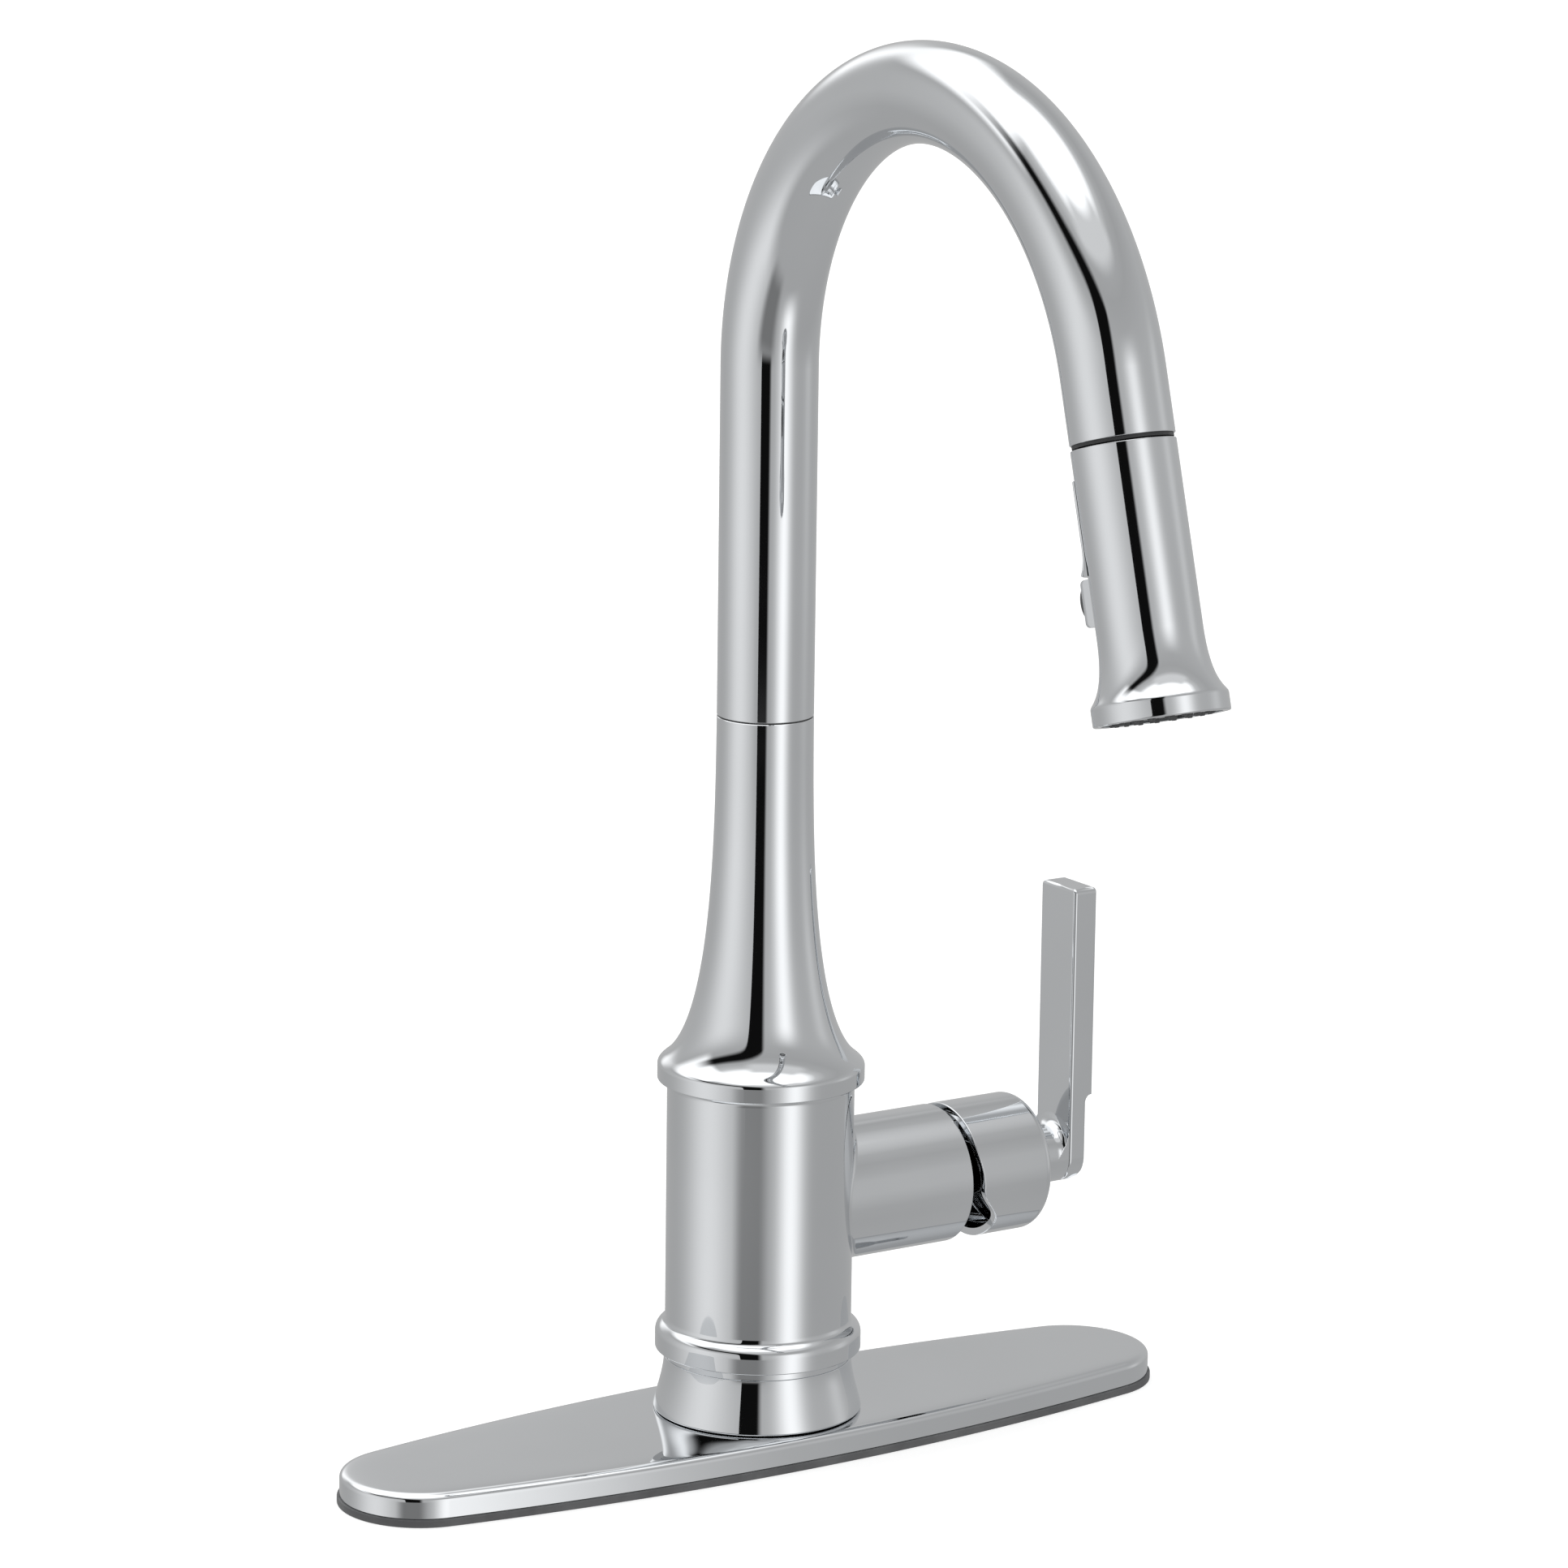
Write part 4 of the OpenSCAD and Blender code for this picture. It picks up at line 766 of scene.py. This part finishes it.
Z_TOP, Z_FER = 45.0, 31.0     # the hose is straight from here to the wand, up inside the mouth
STROKE = 235.0
S = Surf()
t = np.linspace(0, 1, 430)
zr = Z_TOP + (Z_FER - Z_TOP) * t
w = t * t * (3 - 2 * t)
pattern = -zr + STROKE * w
low = np.linspace(Z_FER, 9.0, 60)[1:]
zr = np.concatenate([zr, low]); pattern = np.concatenate([pattern, -low + STROKE])
cen = np.stack([0 * zr, 0 * zr, zr], -1)
e1 = np.tile([1.0, 0, 0], (len(zr), 1)); e2 = np.tile([0, 1.0, 0], (len(zr), 1))
braid_rows(S, cen, (e1, e2), TIPM, pattern)
run = S.build("spray_hose.run")
run.data.materials.append(BRAID)
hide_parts("spray_hose")
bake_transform(run)

# the fixed part: up the riser, over the bend, easing off the tube's centreline to meet the straight run
full = [(0.0, z, 90.0) for z in np.linspace(-94, BEND_Z, 84)]
full += [(-BR1 + BR1 * math.cos(math.radians(q)), BEND_Z + BR1 * math.sin(math.radians(q)), 90 + q) for q in np.linspace(0, 90, 46)[1:]]
qe = 90 + BA2 - math.degrees((Z_TOP - TUBE_END) / BR2)
full += [(-BR1 + BR2 * math.cos(math.radians(q)), BEND_Z + BR1 - BR2 + BR2 * math.sin(math.radians(q)), 90 + q) for q in np.linspace(90, qe, 30)[1:]]
full = np.array(full)
tt = np.array([[0, 0, Z_TOP, 1]]) @ (move(0, TIP_Y, TIP_Z) @ rot("X", -(90 - BA2))).T
end = tt[0, 1:3]
off = end - full[-1, :2]
s = smooth((np.arange(len(full)) - (len(full) - 26)) / 25.0)
xy = full[:, :2] + s[:, None] * off
g = np.gradient(xy, axis=0)
ang = np.degrees(np.unwrap(np.arctan2(g[:, 1], g[:, 0])))
ang[-1] = 180 + BA2
d = np.radians(ang)
cen = np.stack([0 * d, xy[:, 0], xy[:, 1]], -1)
e1 = np.tile([1.0, 0, 0], (len(d), 1)); e2 = np.stack([0 * d, -np.sin(d), np.cos(d)], -1)
step = np.concatenate([[0], np.cumsum(np.linalg.norm(np.diff(cen, axis=0), axis=1))])
S = Surf()
dense = np.linspace(0, step[-1], 620)
cen2 = np.stack([np.interp(dense, step, cen[:, i]) for i in range(3)], -1)
e22 = np.stack([np.interp(dense, step, e2[:, i]) for i in range(3)], -1); e22 /= np.linalg.norm(e22, axis=1, keepdims=True)
braid_rows(S, cen2, (np.tile([1.0, 0, 0], (len(dense), 1)), e22), YAWM, dense, n=48)
give(S.build("spray_hose.riser"), BRAID, "spout", "hose_braid", "spray_hose")

# ------------------------------------------------------------------ every other CAD node gets its finish
FINISH = {
    "deck_seal": RUBBER, "base_seal": RUBBER, "valve_body": BRASS, "swivel_post": BRASS, "post_o_rings": RUBBER, "post_retaining_ring": STEEL,
    "thrust_ring": DARKP, "rubber_washer": RUBBER, "steel_washer": ZINC, "hose_guide": WHITEP, "hose_end_fitting": BRASS,
    "cartridge_base": WHITEP, "seat_seals": RUBBER, "cartridge_housing": GREYP, "fixed_disc": CERAM, "bonnet_nut": BRASS,
    "cartridge_rotor": WHITEP, "tilt_pin": STEEL, "disc_carrier": GREYP, "moving_disc": CERAM, "cartridge_stem": CHROME_IN,
    "set_screw": STEEL, "index_plug": GREYP, "spout_bushing": WHITEP, "dock_bush": DARKP, "dock_magnet": STEEL,
    "hose_ferrule": STEEL, "hose_nut": BRASS, "wand_core": GREYP, "dock_plate": STEEL, "inlet_screen": STEEL, "check_valve": WHITEP,
    "spray_plate": GREYP, "spray_nozzles": NOZZLE, "aerator": GREYP, "face_seal": RUBBER, "button_spring": STEEL, "diverter_plunger": WHITEP,
}
for node, mat in FINISH.items():
    ob = frame["nodes"][node]
    for s in ob.material_slots:
        s.material = mat
    if not ob.material_slots:
        ob.data.materials.append(mat)

# ------------------------------------------------------------------ floor, light, camera
def floor():
    pts = [(0.0, 0.0)] + [(r, 0.0) for r in (0.5, 1.5, 3.0, 6.0)]
    R = 5.0
    for q in np.linspace(0, 90, 13)[1:]:
        pts.append((6.0 + R * math.sin(math.radians(q)), R - R * math.cos(math.radians(q))))
    pts.append((11.0, 16.0))
    n = 96
    verts, faces = [], []
    for r, z in pts:
        for i in range(n):
            verts.append((r * math.cos(2 * math.pi * i / n), r * math.sin(2 * math.pi * i / n), z))
    for k in range(len(pts) - 1):
        for i in range(n):
            j = (i + 1) % n
            faces.append((k * n + i, k * n + j, (k + 1) * n + j, (k + 1) * n + i) if k else (i, n + j, n + i))
    me = bpy.data.meshes.new("studio_floor")
    me.from_pydata(verts, [], faces)
    me.validate()
    me.polygons.foreach_set("use_smooth", [True] * len(me.polygons))
    ob = bpy.data.objects.new("studio_floor", me)
    sc.collection.objects.link(ob)
    m, nt, bs = new_mat("pale_floor")
    v = coords(nt)
    link(nt, ramp(nt, noise(nt, v, 3.0, 2), [(0.3, (0.60, 0.60, 0.60)), (0.7, (0.62, 0.62, 0.62))]), bs.inputs["Base Color"])
    bs.inputs["Roughness"].default_value = 0.9
    bs.inputs["Specular IOR Level"].default_value = 0.1
    bs.inputs["Emission Color"].default_value = (1, 1, 1, 1)
    bs.inputs["Emission Strength"].default_value = 0.62
    me.materials.append(m)
    ob.visible_glossy = False
    ob.visible_diffuse = False
    ob.visible_shadow = False
    return ob
floor()

def world():
    """A studio tent: bright overhead, softboxes left, right and behind, and one black flag by the camera that arches over to the left."""
    w = bpy.data.worlds.new("studio")
    sc.world = w
    w.use_nodes = True
    nt = w.node_tree
    nt.nodes.clear()
    out = nt.nodes.new("ShaderNodeOutputWorld")
    bg = nt.nodes.new("ShaderNodeBackground")
    link(nt, bg.outputs[0], out.inputs[0])
    tc = nt.nodes.new("ShaderNodeTexCoord")
    sx = nt.nodes.new("ShaderNodeSeparateXYZ")
    link(nt, tc.outputs["Generated"], sx.inputs[0])

    def math_(op, a, b=None, c=None):
        n = nt.nodes.new("ShaderNodeMath"); n.operation = op
        for i, x in enumerate((a, b, c)):
            if x is None:
                continue
            if isinstance(x, (int, float)):
                n.inputs[i].default_value = x
            else:
                link(nt, x, n.inputs[i])
        return n.outputs[0]
    az = math_("MULTIPLY", math_("ARCTAN2", sx.outputs[1], sx.outputs[0]), 180 / math.pi)
    el = math_("MULTIPLY", math_("ARCSINE", sx.outputs[2]), 180 / math.pi)

    def step(x, lo, hi):
        n = nt.nodes.new("ShaderNodeMapRange"); n.interpolation_type = "SMOOTHSTEP"
        n.inputs["From Min"].default_value = lo; n.inputs["From Max"].default_value = hi
        link(nt, x, n.inputs["Value"])
        return n.outputs["Result"]

    def near(c):
        return math_("WRAP", math_("SUBTRACT", az, c), 180.0, -180.0)

    def band(x, lo, hi, soft):
        return math_("MULTIPLY", step(x, lo - soft, lo + soft), math_("SUBTRACT", 1.0, step(x, hi - soft, hi + soft)))

    def bell(x, sigma):
        q = math_("DIVIDE", x, sigma)
        return math_("EXPONENT", math_("MULTIPLY", math_("MULTIPLY", q, q), -1.0))

    def lin(L):
        L = L / 255.0
        return (L / 12.92 if L < 0.04045 else ((L + 0.055) / 1.055) ** 2.4) / 0.72

    def mix(v, weight, L, gain=1.0):
        return math_("ADD", v, math_("MULTIPLY", weight, math_("SUBTRACT", lin(L) * gain, v)))
    cr = nt.nodes.new("ShaderNodeValToRGB")
    link(nt, math_("DIVIDE", math_("ADD", el, 90.0), 180.0), cr.inputs[0])
    e = cr.color_ramp.elements
    stops = [(-90, 160), (-45, 158), (-20, 155), (0, 166), (20, 168), (40, 158), (50, 166), (57, 190)]
    e[0].position = 0; e[1].position = 1
    e[0].color = (*[lin(160)] * 3, 1); e[1].color = (*[lin(255) * 1.25] * 3, 1)
    for d, L in stops[1:]:
        k = e.new((d + 90) / 180); k.color = (*[lin(L)] * 3, 1)
    k = e.new((64 + 90) / 180); k.color = (*[lin(255) * 1.15] * 3, 1)
    v = cr.outputs[0]
    sep = nt.nodes.new("ShaderNodeSeparateColor"); link(nt, v, sep.inputs[0]); v = sep.outputs[0]
    # the overhead bank is weaker towards the camera's right
    v = mix(v, math_("MULTIPLY", band(near(264.0), -50, 50, 12), band(el, 50, 67, 4)), 203)
    # softbox to the right of the camera
    v = mix(v, math_("MULTIPLY", bell(near(275.5), 16.0), band(el, -36, 24, 8)), 250)
    # softbox far left
    v = mix(v, math_("MULTIPLY", bell(near(172.0), 33.0), band(el, -42, 24, 9)), 215)
    # weak strip at the right
    v = mix(v, math_("MULTIPLY", bell(near(341.0), 12.0), band(el, -10, 16, 6)), 186)
    # big bank behind, high up
    v = mix(v, math_("MULTIPLY", band(near(100.0), -46, 54, 8), step(el, 27, 38)), 255, 1.15)
    # narrow lamp behind
    v = mix(v, math_("MULTIPLY", bell(near(80.0), 12.0), band(el, 10, 40, 5)), 252)
    # shadow side of the black flag, low down
    grey = math_("MULTIPLY", band(near(229.0), -20, 14, 8), band(el, -44, -14, 6))
    v = mix(v, grey, 112)
    # black flag: upright by the camera, then bent over to the left in one smooth curve
    azp = math_("WRAP", az, 360.0, 0.0)
    inner = math_("SUBTRACT", 36.5, math_("DIVIDE", 42.0, math_("MAXIMUM", math_("SUBTRACT", 219.0, azp), 0.8)))
    q = math_("DIVIDE", math_("MAXIMUM", math_("SUBTRACT", azp, 196.0), 0.0), 47.0)
    outer = math_("ADD", 30.0, math_("MULTIPLY", 16.5, math_("SQRT", math_("MAXIMUM", math_("SUBTRACT", 1.0, math_("MULTIPLY", q, q)), 0.0))))
    dark = math_("MULTIPLY", step(math_("SUBTRACT", el, inner), -2.0, 3.0), math_("SUBTRACT", 1.0, step(math_("SUBTRACT", el, outer), -4.0, 2.5)))
    dark = math_("MULTIPLY", dark, math_("SUBTRACT", 1.0, step(azp, 236.5, 243.5)))
    dark = math_("MULTIPLY", dark, step(azp, 116.0, 162.0))
    dark = math_("MULTIPLY", dark, step(el, -17.0, -11.0))
    v = mix(v, dark, 13)
    comb = nt.nodes.new("ShaderNodeCombineColor")
    for i in range(3):
        link(nt, v, comb.inputs[i])
    link(nt, comb.outputs[0], bg.inputs[0])
    bg.inputs[1].default_value = 1.0
world()

def camera():
    a, e, r = (math.radians(x) for x in (-33.36, 12.39, -0.744))
    F = Vector((-math.sin(a) * math.cos(e), math.cos(a) * math.cos(e), -math.sin(e)))
    Rt = Vector((math.cos(a), math.sin(a), 0))
    D = F.cross(Rt)
    X = math.cos(r) * Rt + math.sin(r) * D
    Y = -(-math.sin(r) * Rt + math.cos(r) * D)
    cam = bpy.data.cameras.new("camera")
    cam.lens = 145.75; cam.sensor_width = 36.0; cam.clip_start = 0.05; cam.clip_end = 100
    ob = bpy.data.objects.new("camera", cam)
    sc.collection.objects.link(ob)
    M = Matrix.Identity(4)
    for i in range(3):
        M[i][0], M[i][1], M[i][2] = X[i], Y[i], -F[i]
    M[0][3], M[1][3], M[2][3] = -0.9499, -1.4527, 0.5725
    ob.matrix_world = M
    sc.camera = ob
camera()

bpy.context.view_layer.update()
